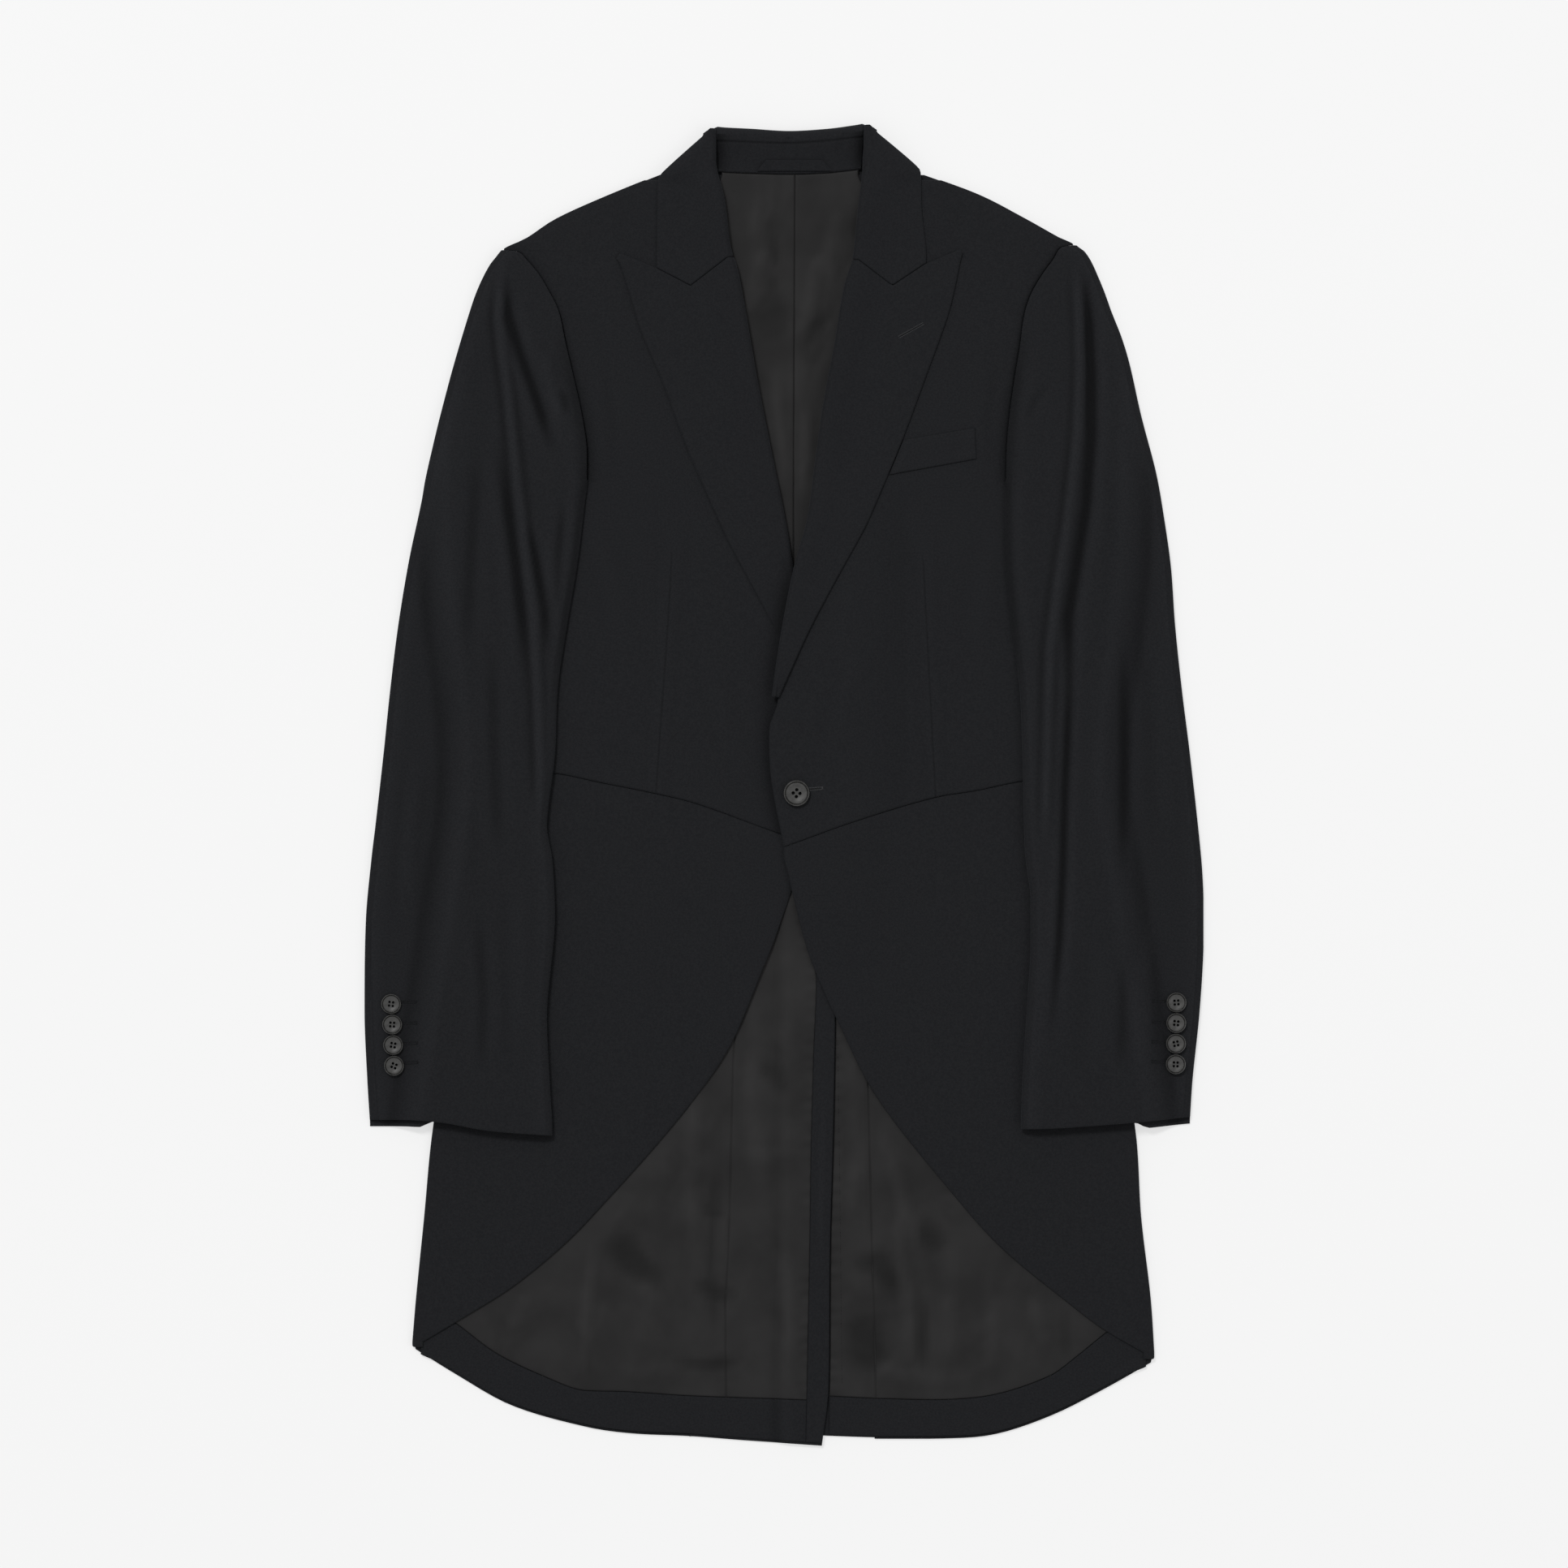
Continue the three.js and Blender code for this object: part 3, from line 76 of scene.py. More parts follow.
# Outlines: a row for each level, as (y, x), or (x, y) for edges that run across.
SIDE = {
    "left": [
        (198, -239), (150, -236), (10, -222), (-98, -236), (-258, -260), (-320, -266), (-380, -272),
        (-416, -275),
    ],
    "right": [
        (198, 239), (150, 236), (10, 222), (-98, 236), (-258, 260), (-320, 264), (-380, 271), (-425, 274),
    ],
}
SHOULDER = {
    "left": [
        (452, -88), (436, -128), (418, -168), (403, -191), (394.8, -207.5), (393.4, -197), (388, -190.5),
        (376, -180.5), (365, -174), (350, -166.5), (325, -161), (302, -155.5), (272, -149), (247, -145.5),
        (224, -145.5), (212, -178), (204, -216), (198, -239),
    ],
    "right": [
        (452, 99), (436, 143), (418, 178), (404, 203), (398.4, 214), (396.6, 205), (388, 199), (374, 189),
        (360, 181.4), (345, 177), (323, 174), (302, 170.5), (277, 167), (250, 164.5), (224, 164),
        (212, 184), (204, 218), (198, 239),
    ],
}
ROLL = {
    "left": [
        (486, -50), (458, -50), (433, -44), (398, -39), (375, -33), (342, -27), (296, -19), (245, -9),
        (196, 1), (160, 7), (107, 16), (50, 24), (8, 27), (-17, 23), (-51, 15),
    ],
    "right": [
        (488, 59), (455, 58), (422, 54), (388, 50), (367, 44), (325, 37), (276, 28), (232, 22), (196, 17),
        (159, 7), (107, -3), (56, -10), (31, -11), (8, -10), (-17, -6), (-51, 1),
    ],
}
CUTAWAY = {
    "left": [
        (-36, 19), (-65, 10), (-98, -1), (-133, -14), (-212, -51), (-325, -147), (-369, -197),
        (-398, -243), (-414, -270),
    ],
    "right": [
        (-36, -3), (-51, 1), (-78, 6), (-119, 16), (-143, 25), (-174, 39), (-232, 69), (-308, 129),
        (-344, 162), (-385, 212), (-403, 236), (-422, 269),
    ],
}
LAPEL_EDGE = {
    "left": [
        (388, -124), (361, -114), (334, -105), (295, -89), (249, -72), (196, -49), (175, -39), (107, -3),
        (62, 15),
    ],
    "right": [
        (391, 132), (368, 127), (349, 122), (332, 116), (296, 103), (253, 87), (196, 63), (184, 57),
        (148, 37), (112, 18), (79, 3), (62, -4.5),
    ],
}
GORGE = {
    "left": [
        (-124, 388.5), (-121, 392.4), (-94, 381), (-69, 368), (-40, 390),
    ],
    "right": [
        (52, 389), (80, 368), (104, 384), (130, 395), (133, 391.5),
    ],
}
LEAF_EDGE = {
    "left": [
        (486, -51), (451, -90), (446, -93), (381, -94),
    ],
    "right": [
        (488, 60), (455, 99), (450, 101), (411, 102), (384, 105),
    ],
}
WAIST = {
    "left": [
        (-223, 10), (-170, 8), (-135, 1), (-95, -7), (-63, -15), (-3, -37), (28, -47),
    ],
    "right": [
        (-4, -47), (1, -46), (51, -28), (111, -10), (141, -5), (176, 2), (223, 6),
    ],
}
HEM = {
    "left": [
        (-275, -416), (-243, -436), (-202, -459), (-147, -475), (-113, -480), (-70, -482), (-31, -485),
        (28, -489),
    ],
    "right": [
        (12, -482), (70, -484), (111, -484), (154, -481), (197, -467), (237, -447), (274, -426),
    ],
}
HEM_FACING = {
    "left": [
        (-275, -376), (-243, -398), (-212, -421), (-172, -440), (-149, -448), (-117, -449), (-70, -452),
        (16, -455),
    ],
    "right": [
        (28, -452), (70, -454), (114, -455), (156, -451), (197, -437), (215, -424), (236, -407),
        (274, -378),
    ],
}
SLEEVES = {
    "left": [
        (394.2, -208.8, -206, 0.5), (393.1, -209.8, -197, 0.5), (389.5, -212.6, -192, 0.55),
        (383.4, -217.4, -186, 0.55), (371, -224, -177, 0.46), (356, -230, -169, 0.38),
        (310, -244, -157, 0.36), (272, -254, -150, 0.44), (247, -260, -146, 0.52), (225, -265, -145, 0.58),
        (208, -268, -147, 0.6), (166, -277, -152, 0.7), (118, -285, -160, 0.79), (70, -291, -167, 0.88),
        (22, -296, -169, 0.91), (-31, -302, -175, 0.93), (-56, -305, -171, 0.92), (-100, -309, -169, 0.9),
        (-170, -310, -175, 0.9), (-218, -308, -173, 0.9), (-250, -306, -171, 0.9),
    ],
    "right": [
        (397.8, 216.2, 213, 0.5), (396.3, 218, 205, 0.5), (393.4, 222, 203, 0.5), (386, 227, 197, 0.55),
        (374, 232.5, 189, 0.5), (363, 237, 183, 0.42), (349, 242, 178, 0.38), (330, 249.5, 175, 0.4),
        (310, 255.5, 172, 0.42), (272, 264, 168, 0.47), (230, 275, 164, 0.54), (196, 281, 163, 0.6),
        (160, 286, 164, 0.66), (118, 289, 168, 0.7), (70, 294, 174, 0.72), (22, 300, 176, 0.74),
        (-51, 308, 178, 0.78), (-83, 310, 182, 0.8), (-122, 310, 182, 0.82), (-170, 307, 179, 0.85),
        (-218, 302, 176, 0.88), (-248, 300, 175, 0.9),
    ],
}
CUFF = {
    "left": [
        (-310, -248), (-278, -248), (-252, -250), (-218, -256), (-165, -260),
    ],
    "right": [
        (170, -255), (204, -254), (258, -250), (310, -245),
    ],
}
VENT = [
    (-98, 16, 24), (-143, 24, 38), (-199, 22, 37.5), (-272, 20, 36), (-344, 19, 34), (-447, 17, 33),
    (-489, 16, 28),
]
BACK_SEAM = [
    (262, 144), (225, 126), (198, 109), (150, 84), (100, 66), (50, 52), (10, 46), (-100, 50), (-300, 61),
    (-489, 70),
]
NECK_LINING = [
    (449, -46, 55), (410, -62, 74), (340, -66, 78), (240, -52, 66), (120, -38, 52), (40, -36, 50),
]
LAPEL_ROLL = [
    (391, 4.5, 4.5), (300, 4.0, 4.0), (200, 2.0, 3.4), (147, 0.8, 2.6), (62, 0.3, 1.0),
]
STAND = [
    (-48.4, 452.4, -49.95, 485.6, -84, 452, 4.3), (-41, 451.9, -42, 484.9, -72, 448, 1.3),
    (-21, 451.1, -24, 484, -44, 440, 0), (4, 450.5, 4, 482.4, 4, 436, 0), (30, 451.4, 32, 484, 54, 440, 0),
    (50, 453.4, 50.5, 486.4, 81, 449, 1.3), (57, 454.2, 58.75, 487.8, 93, 455, 4.3),
]


# Curves and grids.
def smooth(v):
    u = np.clip(v, 0, 1)
    return u * u * (3 - 2 * u)


def rounding(v):
    u = np.clip(v, 0, 1)
    return np.sqrt(1 - (1 - u) ** 2)


def mix(a, b, u):
    return a + (b - a) * u


def bell(distance, width):
    return np.exp(-((distance / width) ** 2))


def track(table, to=1):
    """A smooth function of a table's first column, that gives another of its columns."""
    rows = np.array(sorted(table), float)
    v, w = rows[:, 0], rows[:, to]
    last = len(v) - 1
    before, after = np.maximum(np.arange(last + 1) - 1, 0), np.minimum(np.arange(last + 1) + 1, last)
    slope = (w[after] - w[before]) / (v[after] - v[before])

    def value(at):
        at = np.clip(np.asarray(at, float), v[0], v[-1])
        i = np.clip(np.searchsorted(v, at) - 1, 0, last - 1)
        step = v[i + 1] - v[i]
        u = (at - v[i]) / step
        rise = w[i + 1] - w[i]
        straight = rise / step

        def limited(s):
            return np.where(s * straight <= 0, 0, np.sign(s) * np.minimum(abs(s), 3 * abs(straight)))

        a, b = limited(slope[i]) * step, limited(slope[i + 1]) * step
        return w[i] + a * u + (3 * rise - 2 * a - b) * u**2 + (a + b - 2 * rise) * u**3

    return value


def straight(table):
    rows = np.array(sorted(table), float)
    return lambda at: np.interp(at, rows[:, 0], rows[:, 1])


# Where the points near a rim lie, and near a line inside a panel.
RIM = np.array([0, 0.12, 0.35, 0.8, 1.5])
LINE = np.array([-1.5, -0.8, -0.4, 0, 0.4, 0.8, 1.5])


def shares(count, size):
    """Shares of a stretch of about this size, close together at both rims."""
    return np.concatenate([RIM / size, np.linspace(0, 1, count)[1:-1], 1 - RIM[::-1] / size])


def columns(edges, counts):
    """Where the columns of a grid lie, between edges and the lines between them.

    edges are functions of the level, from one rim to the other, and counts has a number of
    columns for each stretch. Columns are close together at both rims and at each line.
    """
    stretch, share, offset = [], [], []
    for i, count in enumerate(counts):
        first = RIM if i == 0 else LINE[LINE >= 0]
        final = -RIM[::-1] if i == len(counts) - 1 else LINE[LINE < 0]
        inner = np.linspace(0, 1, count)[1:-1]
        stretch += [i] * (len(first) + len(inner) + len(final))
        share += [0] * len(first) + list(inner) + [1] * len(final)
        offset += list(first) + [0] * len(inner) + list(final)
    stretch, share, offset = np.array(stretch), np.array(share), np.array(offset)
    tight = 1 / np.array(counts)[stretch] * 0.8 / RIM[-1]

    def across(y):
        y = np.broadcast_to(y, (len(y), len(share)))
        a = np.choose(stretch, [edge(y) for edge in edges[:-1]])
        b = np.choose(stretch, [edge(y) for edge in edges[1:]])
        room = np.minimum(1, np.abs(b - a) * tight)
        return a + (b - a) * share + np.sign(b - a) * offset * room

    across.count = len(share)
    return across


def levels(top, bottom, pitch=4.0, fine=()):
    """Levels from top to bottom, close together at both rims and in the fine stretches."""
    way = np.sign(bottom - top)
    size = abs(bottom - top)
    count = max(2, int(round(size / pitch)))
    inner = np.linspace(0, size, count + 1)[1:-1]
    inner = inner[(inner > RIM[-1] * 1.3) & (inner < size - RIM[-1] * 1.3)]
    found = [RIM, inner, size - RIM]
    for high, low, step in fine:
        found.append(np.arange((high - top) * way, (low - top) * way, step))
    every = np.unique(np.round(np.concatenate(found), 3))
    every = every[(every >= 0) & (every <= size)]
    return top + way * every


def plan_grid(stops, across, end=None, reach=1.0):
    """Plan points of a panel. Its last rows bend so that the last one follows end(x)."""
    home = stops[-1]
    level = np.repeat(stops[:, None], across.count, axis=1)
    y = level.copy()
    x = across(y)
    weight = smooth(1 - np.abs(level - home) / reach)
    for _ in range(3 if end else 0):
        y = level + (end(x) - home) * weight
        x = across(y)
    return x, y


def arc(points, axis):
    """How far along its row or column each point of a grid lies, from the start and to the end."""
    step = np.linalg.norm(np.diff(points, axis=axis), axis=2)
    zero = np.zeros_like(np.take(step, [0], axis=axis))
    run = np.concatenate([zero, np.cumsum(step, axis=axis)], axis=axis)
    return run, np.take(run, [-1], axis=axis) - run


def edge_distance(points):
    down, up = arc(points, 0)
    right, left = arc(points, 1)
    return np.minimum(np.minimum(down, up), np.minimum(right, left))


def run_along(line):
    """How far along a line each of its points lies."""
    return np.concatenate([[0], np.cumsum(np.linalg.norm(np.diff(line, axis=0), axis=1))])


def unit(vectors):
    return vectors / np.maximum(np.linalg.norm(vectors, axis=-1, keepdims=True), 1e-9)


# Each finish by its name, set further on.
FINISH = {}
# What each cloth piece measures: the piece, its widest row and longest column, and its area.
CLOTH = {}


def make_mesh(name, points, faces, finish, grain=None):
    mesh = bpy.data.meshes.new(name)
    mesh.from_pydata((np.asarray(points) * MM).tolist(), [], faces)
    mesh.materials.append(FINISH[finish])
    if grain is not None:
        layer = mesh.uv_layers.new(name="grain")
        loops = np.empty(len(mesh.loops), int)
        mesh.loops.foreach_get("vertex_index", loops)
        layer.data.foreach_set("uv", np.asarray(grain)[loops].ravel())
    mesh.polygons.foreach_set("use_smooth", [True] * len(mesh.polygons))
    mesh.update()
    piece = bpy.data.objects.new(name, mesh)
    bpy.context.scene.collection.objects.link(piece)
    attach(piece, "root")
    return piece


# Painted shade darkens the hollows of the upper face and a painted highlight lightens its crests: reach and
# height in mm.
PAINTED_LIGHT_REACH = 5.0
PAINTED_LIGHT_HEIGHT = 1.3
HOLLOW_PAINTED_SHADE = 0.62
CREST_PAINTED_HIGHLIGHT = 0.3


def swell(points):
    """How far the upper face stands over its surroundings, along its rows and its columns."""
    found = np.zeros(points.shape[:2])
    for turned_round in (False, True):
        grid = points.transpose(1, 0, 2) if turned_round else points
        rise = np.zeros(grid.shape[:2])
        for i, line in enumerate(grid):
            run = run_along(line[:, :2])
            behind = np.interp(run - PAINTED_LIGHT_REACH, run, line[:, 2])
            ahead = np.interp(run + PAINTED_LIGHT_REACH, run, line[:, 2])
            rise[i] = line[:, 2] - (behind + ahead) / 2
            rise[i][(run < PAINTED_LIGHT_REACH) | (run > run[-1] - PAINTED_LIGHT_REACH)] = 0
        rise = rise.T if turned_round else rise
        found = np.where(np.abs(rise) > np.abs(found), rise, found)
    return found


def cloth(node, middle, way, thick, finish, relief=0, roll=(0, 1), rim=(0.25, 0.6), shade=1, with_painted_light=True):
    """A closed wall of cloth round a grid of middle points, with rounded rims.

    relief is added to its upper face, and roll = (depth, width) lets that face fall to its rims.
    rim = (share, width) gives how thin the rims are, and over how much of the thickness they thin.
    """
    rows, cols = middle.shape[:2]
    away = edge_distance(middle)
    half = thick / 2 * np.maximum(rim[0], rounding(away / (rim[1] * thick)))
    fall = roll[0] * (1 - rounding(away / roll[1]))
    upper = middle + way * (half + relief - fall)[..., None]
    lower = middle - way * half[..., None]
    points = np.concatenate([upper.reshape(-1, 3), lower.reshape(-1, 3)])
    at = np.arange(rows * cols).reshape(rows, cols)
    under = at + rows * cols
    a, b, c, d = at[:-1, :-1], at[:-1, 1:], at[1:, 1:], at[1:, :-1]
    e, f, g, h = under[:-1, :-1], under[:-1, 1:], under[1:, 1:], under[1:, :-1]
    top = np.stack([a, b, c, d], -1).reshape(-1, 4)
    base = np.stack([e, h, g, f], -1).reshape(-1, 4)
    ring = np.concatenate([at[0, :-1], at[:-1, -1], at[-1, :0:-1], at[:0:-1, 0]])
    nxt = np.roll(ring, -1)
    side = np.stack([ring, ring + rows * cols, nxt + rows * cols, nxt], -1)
    faces = np.concatenate([top, base, side])
    p = points[top]
    outward = np.cross(p[:, 1] - p[:, 0], p[:, 2] - p[:, 0])
    if (outward * way.reshape(-1, 3)[top[:, 0]]).sum() < 0:
        faces = faces[:, ::-1]
    right, left = arc(middle, 1)
    down = arc(middle, 0)[0]
    grain = np.stack([(right - left) / 2, down], -1).reshape(-1, 2) * MM
    piece = make_mesh(f"{node}_{finish}", points, faces.tolist(), finish, np.concatenate([grain, grain]))
    # Painted light: hollows of the upper face get painted shade and crests a painted highlight, times the
    # painted shade passed in; the lower face keeps 1.
    share = np.clip(swell(upper) / PAINTED_LIGHT_HEIGHT, -1, 1) * with_painted_light
    painted_light = shade * (1 + np.where(share < 0, HOLLOW_PAINTED_SHADE, CREST_PAINTED_HIGHLIGHT) * share)
    painted_light_layer = piece.data.attributes.new("painted_light", "FLOAT", "POINT")
    painted_light_layer.data.foreach_set("value", np.concatenate([painted_light.ravel(), np.ones(rows * cols)]))
    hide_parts(node)
    m = middle * MM
    crossed = np.cross(m[1:, 1:] - m[:-1, :-1], m[:-1, 1:] - m[1:, :-1])
    area = float(np.linalg.norm(crossed, axis=2).sum() / 2)
    CLOTH[node] = (piece, float((right + left).max()) * MM, float(down.max()) * MM, area)


UP = np.array([0.0, 0.0, 1.0])


def panel(node, grid, under, thick, finish, relief=None, roll=(0, 1), rim=(0.25, 0.6), shade=1):
    """A wall of cloth that lies on what is below it: its lower face is under(x, y)."""
    x, y = grid
    middle = np.stack([x, y, under(x, y) + thick / 2], -1)
    way = np.broadcast_to(UP, middle.shape)
    extra = relief(x, y) if relief else 0
    cloth(node, middle, way, thick, finish, extra, roll, rim, shade(x, y) if callable(shade) else shade)


def turned(node, middle, thick, finish, relief=0, roll=(0, 1), shade=1):
    """A wall of cloth that turns over, as even as its middle points. Its first column faces up."""
    along, across = np.gradient(middle, axis=0), np.gradient(middle, axis=1)
    way = unit(np.cross(across, along))
    way = way * np.sign(way[:, 0, 2].mean())
    cloth(node, middle, way, thick, finish, relief, roll, shade=shade, with_painted_light=False)


# Folds and creases: soft ridges, or troughs where the height is below zero, along a line.
def fold(x, y, line, height, width, taper=0.25):
    """The height of one fold over a grid. It fades over a share of its length at each end."""
    line = np.array(line, float)
    run = run_along(line)
    best = np.full(np.shape(x), 1e9)
    place = np.zeros(np.shape(x))
    for p, q, start in zip(line[:-1], line[1:], run[:-1]):
        size = np.linalg.norm(q - p)
        u = np.clip(((x - p[0]) * (q[0] - p[0]) + (y - p[1]) * (q[1] - p[1])) / size**2, 0, 1)
        d = np.hypot(x - mix(p[0], q[0], u), y - mix(p[1], q[1], u))
        place = np.where(d < best, (start + u * size) / run[-1], place)
        best = np.minimum(d, best)
    fade = smooth(place / taper) * smooth((1 - place) / taper) if taper else 1
    return height * bell(best, width) * fade


def folds(table):
    def height(x, y):
        total = np.zeros(np.shape(x))
        for rise, width, taper, line in table:
            total += fold(x, y, line, rise, width, taper)
        return total

    return height


# The camera looks straight down, with the collar at the top of the picture.
CAMERA_HEIGHT = 6.0
FRAME_WIDTH = 1.1592
SENSOR = 36.0
camera_data = bpy.data.cameras.new("camera")
camera_data.sensor_width = SENSOR
camera_data.lens = SENSOR * CAMERA_HEIGHT / FRAME_WIDTH
camera_data.clip_end = 100
camera = bpy.data.objects.new("camera", camera_data)
camera.location = (0, 0, CAMERA_HEIGHT)
bpy.context.scene.collection.objects.link(camera)
bpy.context.scene.camera = camera
bpy.context.scene.view_settings.view_transform = "Standard"


# Finishes.
def material(name, base, rough, specular):
    made = bpy.data.materials.new(name)
    made.use_nodes = True
    shader = made.node_tree.nodes["Principled BSDF"]
    shader.inputs["Base Color"].default_value = (*base, 1)
    shader.inputs["Roughness"].default_value = rough
    shader.inputs["Specular IOR Level"].default_value = specular
    FINISH[name] = made
    return made.node_tree, shader


def node_of(tree, kind, links=(), **values):
    """A shader node with its inputs set, and with links from other nodes' outputs."""
    node = tree.nodes.new(kind)
    for key, value in values.items():
        if key in node.inputs:
            node.inputs[key].default_value = value
        else:
            setattr(node, key, value)
    for key, source in links:
        tree.links.new(source, node.inputs[key])
    return node


def place_in(tree):
    return tree.nodes.new("ShaderNodeTexCoord").outputs["Object"]


def bump(tree, height, strength, depth, before=None):
    """A bump from a texture's height, on top of the bump before it."""
    links = [("Height", height.outputs["Fac"])]
    if before:
        links.append(("Normal", before.outputs["Normal"]))
    return node_of(tree, "ShaderNodeBump", links, Strength=strength, Distance=depth)


def mottled(tree, shader, place, low, high, scale, with_painted_light=True):
    """The base colour wanders between two tones, and is scaled by the painted shade and highlight stored on
    the cloth.
    """
    noise = node_of(tree, "ShaderNodeTexNoise", [("Vector", place)], Scale=scale, Detail=4.0)
    ramp = node_of(tree, "ShaderNodeValToRGB", [("Fac", noise.outputs["Fac"])])
    ramp.color_ramp.elements[0].position = 0.35
    ramp.color_ramp.elements[1].position = 0.65
    ramp.color_ramp.elements[0].color = (*low, 1)
    ramp.color_ramp.elements[1].color = (*high, 1)
    if not with_painted_light:
        tree.links.new(ramp.outputs["Color"], shader.inputs["Base Color"])
        return
    # Painted light: the base colour times each point's painted shade and highlight.
    painted_light = node_of(tree, "ShaderNodeAttribute", attribute_name="painted_light")
    links = [(0, ramp.outputs["Color"]), ("Scale", painted_light.outputs["Fac"])]
    scaled = node_of(tree, "ShaderNodeVectorMath", links, operation="SCALE")
    tree.links.new(scaled.outputs["Vector"], shader.inputs["Base Color"])


TWILL_PITCH = 0.0009
WAVE_CYCLE = 0.314


def wool_material():
    tree, shader = material("wool", (0.0105, 0.0110, 0.0126), 0.9, 0.08)
    shader.inputs["Sheen Weight"].default_value = 0.05
    shader.inputs["Sheen Roughness"].default_value = 0.45
    shader.inputs["Sheen Tint"].default_value = (0.72, 0.76, 0.85, 1)
    grain = tree.nodes.new("ShaderNodeUVMap")
    grain.uv_map = "grain"
    place = place_in(tree)
    mottled(tree, shader, place, (0.0098, 0.0102, 0.0116), (0.0129, 0.0133, 0.0147), 700.0)
    twill = node_of(tree, "ShaderNodeTexWave", [("Vector", grain.outputs["UV"])], bands_direction="DIAGONAL",
                    Scale=WAVE_CYCLE / TWILL_PITCH, Distortion=0.6, Detail=1.0)
    twill.inputs["Detail Scale"].default_value = 2.0
    nap = node_of(tree, "ShaderNodeTexNoise", [("Vector", place)], Scale=1600.0, Detail=3.0)
    lie = node_of(tree, "ShaderNodeTexNoise", [("Vector", place)], Scale=34.0, Detail=3.0)
    rough = bump(tree, nap, 0.5, 0.0001, bump(tree, lie, 0.5, 0.0018))
    tree.links.new(bump(tree, twill, 0.5, 0.00008, rough).outputs["Normal"], shader.inputs["Normal"])


def lining_material():
    tree, shader = material("lining", (0.0125, 0.0121, 0.0122), 0.58, 0.16)
    shader.inputs["Sheen Weight"].default_value = 0.08
    shader.inputs["Sheen Roughness"].default_value = 0.3
    place = place_in(tree)
    # Soft blotches in the base colour are painted highlight and painted shade, standing for the satin's sheen
    # over its wrinkles.
    mottled(tree, shader, place, (0.0104, 0.0101, 0.0103), (0.0156, 0.0152, 0.0154), 26.0)
    slant = node_of(tree, "ShaderNodeMapping", [("Vector", place)], Rotation=(0.0, 0.0, 0.5),
                    Scale=(1.0, 0.6, 1.0))
    lie = node_of(tree, "ShaderNodeTexNoise", [("Vector", slant.outputs["Vector"])], Scale=24.0, Detail=1.5,
                  Distortion=0.5)
    weave = node_of(tree, "ShaderNodeTexNoise", [("Vector", place)], Scale=2200.0, Detail=2.0)
    soft = bump(tree, lie, 0.8, 0.006)
    tree.links.new(bump(tree, weave, 0.3, 0.00005, soft).outputs["Normal"], shader.inputs["Normal"])


def button_material():
    tree, shader = material("button", (0.045, 0.045, 0.044), 0.27, 0.7)
    place = place_in(tree)
    swirl = node_of(tree, "ShaderNodeMapping", [("Vector", place)], Scale=(1.0, 1.6, 0.5))
    low, high = (0.018, 0.018, 0.0172), (0.038, 0.0375, 0.036)
    mottled(tree, shader, swirl.outputs["Vector"], low, high, 230.0, False)


wool_material()
lining_material()
button_material()
material("thread", (0.034, 0.035, 0.037), 0.6, 0.4)
# Dark thread, which also paints the shade in the buttonholes' openings.
material("dark_thread_and_slit_shade", (0.004, 0.004, 0.0045), 0.8, 0.2)
material("edge_thread", (0.0115, 0.012, 0.0135), 0.8, 0.1)


# Heights.
def neck_lift(x, y):
    """The coat's back is lifted by the collar's fall, which is folded under it at the neck."""
    return NECK_RISE * smooth((128 - np.abs(x - 4)) / 36) * smooth((y - 386) / 48)


VENT_TOP = -60
UNDERLAP = 11


def vent_lift(x, y):
    """The left tail lies over the right one along the vent."""
    return VENT_RISE * smooth((x + 8) / 12) * smooth((VENT_TOP + 30 - y) / 24)


side_x = {side: track(SIDE[side]) for side in SIDES}
shoulder_x = {side: track(SHOULDER[side]) for side in SIDES}
shoulder_y = {side: track([(x, y) for y, x in SHOULDER[side][:5]]) for side in SIDES}
roll_x = {side: track(ROLL[side]) for side in SIDES}
seam_x = track(BACK_SEAM)
centre_x = track([(452, 8), (200, 7), (0, 8), (-489, 12)])
vent_left, vent_right = track(VENT, 1), track(VENT, 2)
CHEST = {"x": 112, "y": 240, "wide": 120, "tall": 230}


def front_under(side, x, y):
    """How far the front stands over the surface: low at its edges, full over the chest."""
    from_side = np.abs(side_x[side](y)) - np.abs(x)
    from_shoulder = shoulder_y[side](x) - y
    side_share = np.where(y < 206, rounding((from_side + 0.5) / 9), 1)
    share = side_share * rounding((from_shoulder + 1) / 12)
    chest = bell(np.abs(x) - CHEST["x"], CHEST["wide"]) * bell(y - CHEST["y"], CHEST["tall"])
    return mix(LINING_UNDER, FRONT_UNDER + CHEST_RISE * chest, share) + neck_lift(x, y)


def crossing(x, y):
    """The right front crosses over the left one and its lapel."""
    return CROSSING_RISE * smooth((90 - x) / 50) * smooth((262 - y) / 95)


def front_lift(side, x, y):
    return front_under(side, x, y) + (crossing(x, y) if side == "right" else 0)


def skirt_lift(side, x, y):
    """The skirts keep the crossing only near the waist, and lie over the edge of the left tail."""
    cross = crossing(x, y) * smooth((y + 175) / 90) if side == "right" else 0
    near = smooth((x + 70) / 50) * smooth((95 - x) / 50)
    return np.maximum(cross, (VENT_RISE + 0.2) * near * smooth((VENT_TOP + 40 - y) / 24))


# Finer levels near the underarm and near the tip of the shoulder: top, bottom and pitch.
UNDERARM_Y = 198
UNDERARM = (224, UNDERARM_Y, 1.3)
TIP = (400, 390, 0.9)
# Above this level the back's edge follows the armhole, and below it the seam to the side body.
SIDE_SEAM_TOP = 262
SIDE_TOP, SIDE_LOW = 258, 10
BACK_TOP, BACK_LOW = 450, -470
FRONT_TOP = 446
SKIRT_TOP = -36
NECK_LINING_TOP, NECK_LINING_LOW = 449, 40
TAIL_LINING_TOP, TAIL_LINING_LOW = -78, -410
STRIP_TOP, STRIP_LOW = -104, -481
LAPEL_LOW = 64
CUFF_LEVEL = -248
GORGE_LEVEL = {"lapel": 380, "leaf": 386}

UNDER_SLEEVE = 1.5
SLEEVE_HEAD = {"left": 393.2, "right": 396.4}


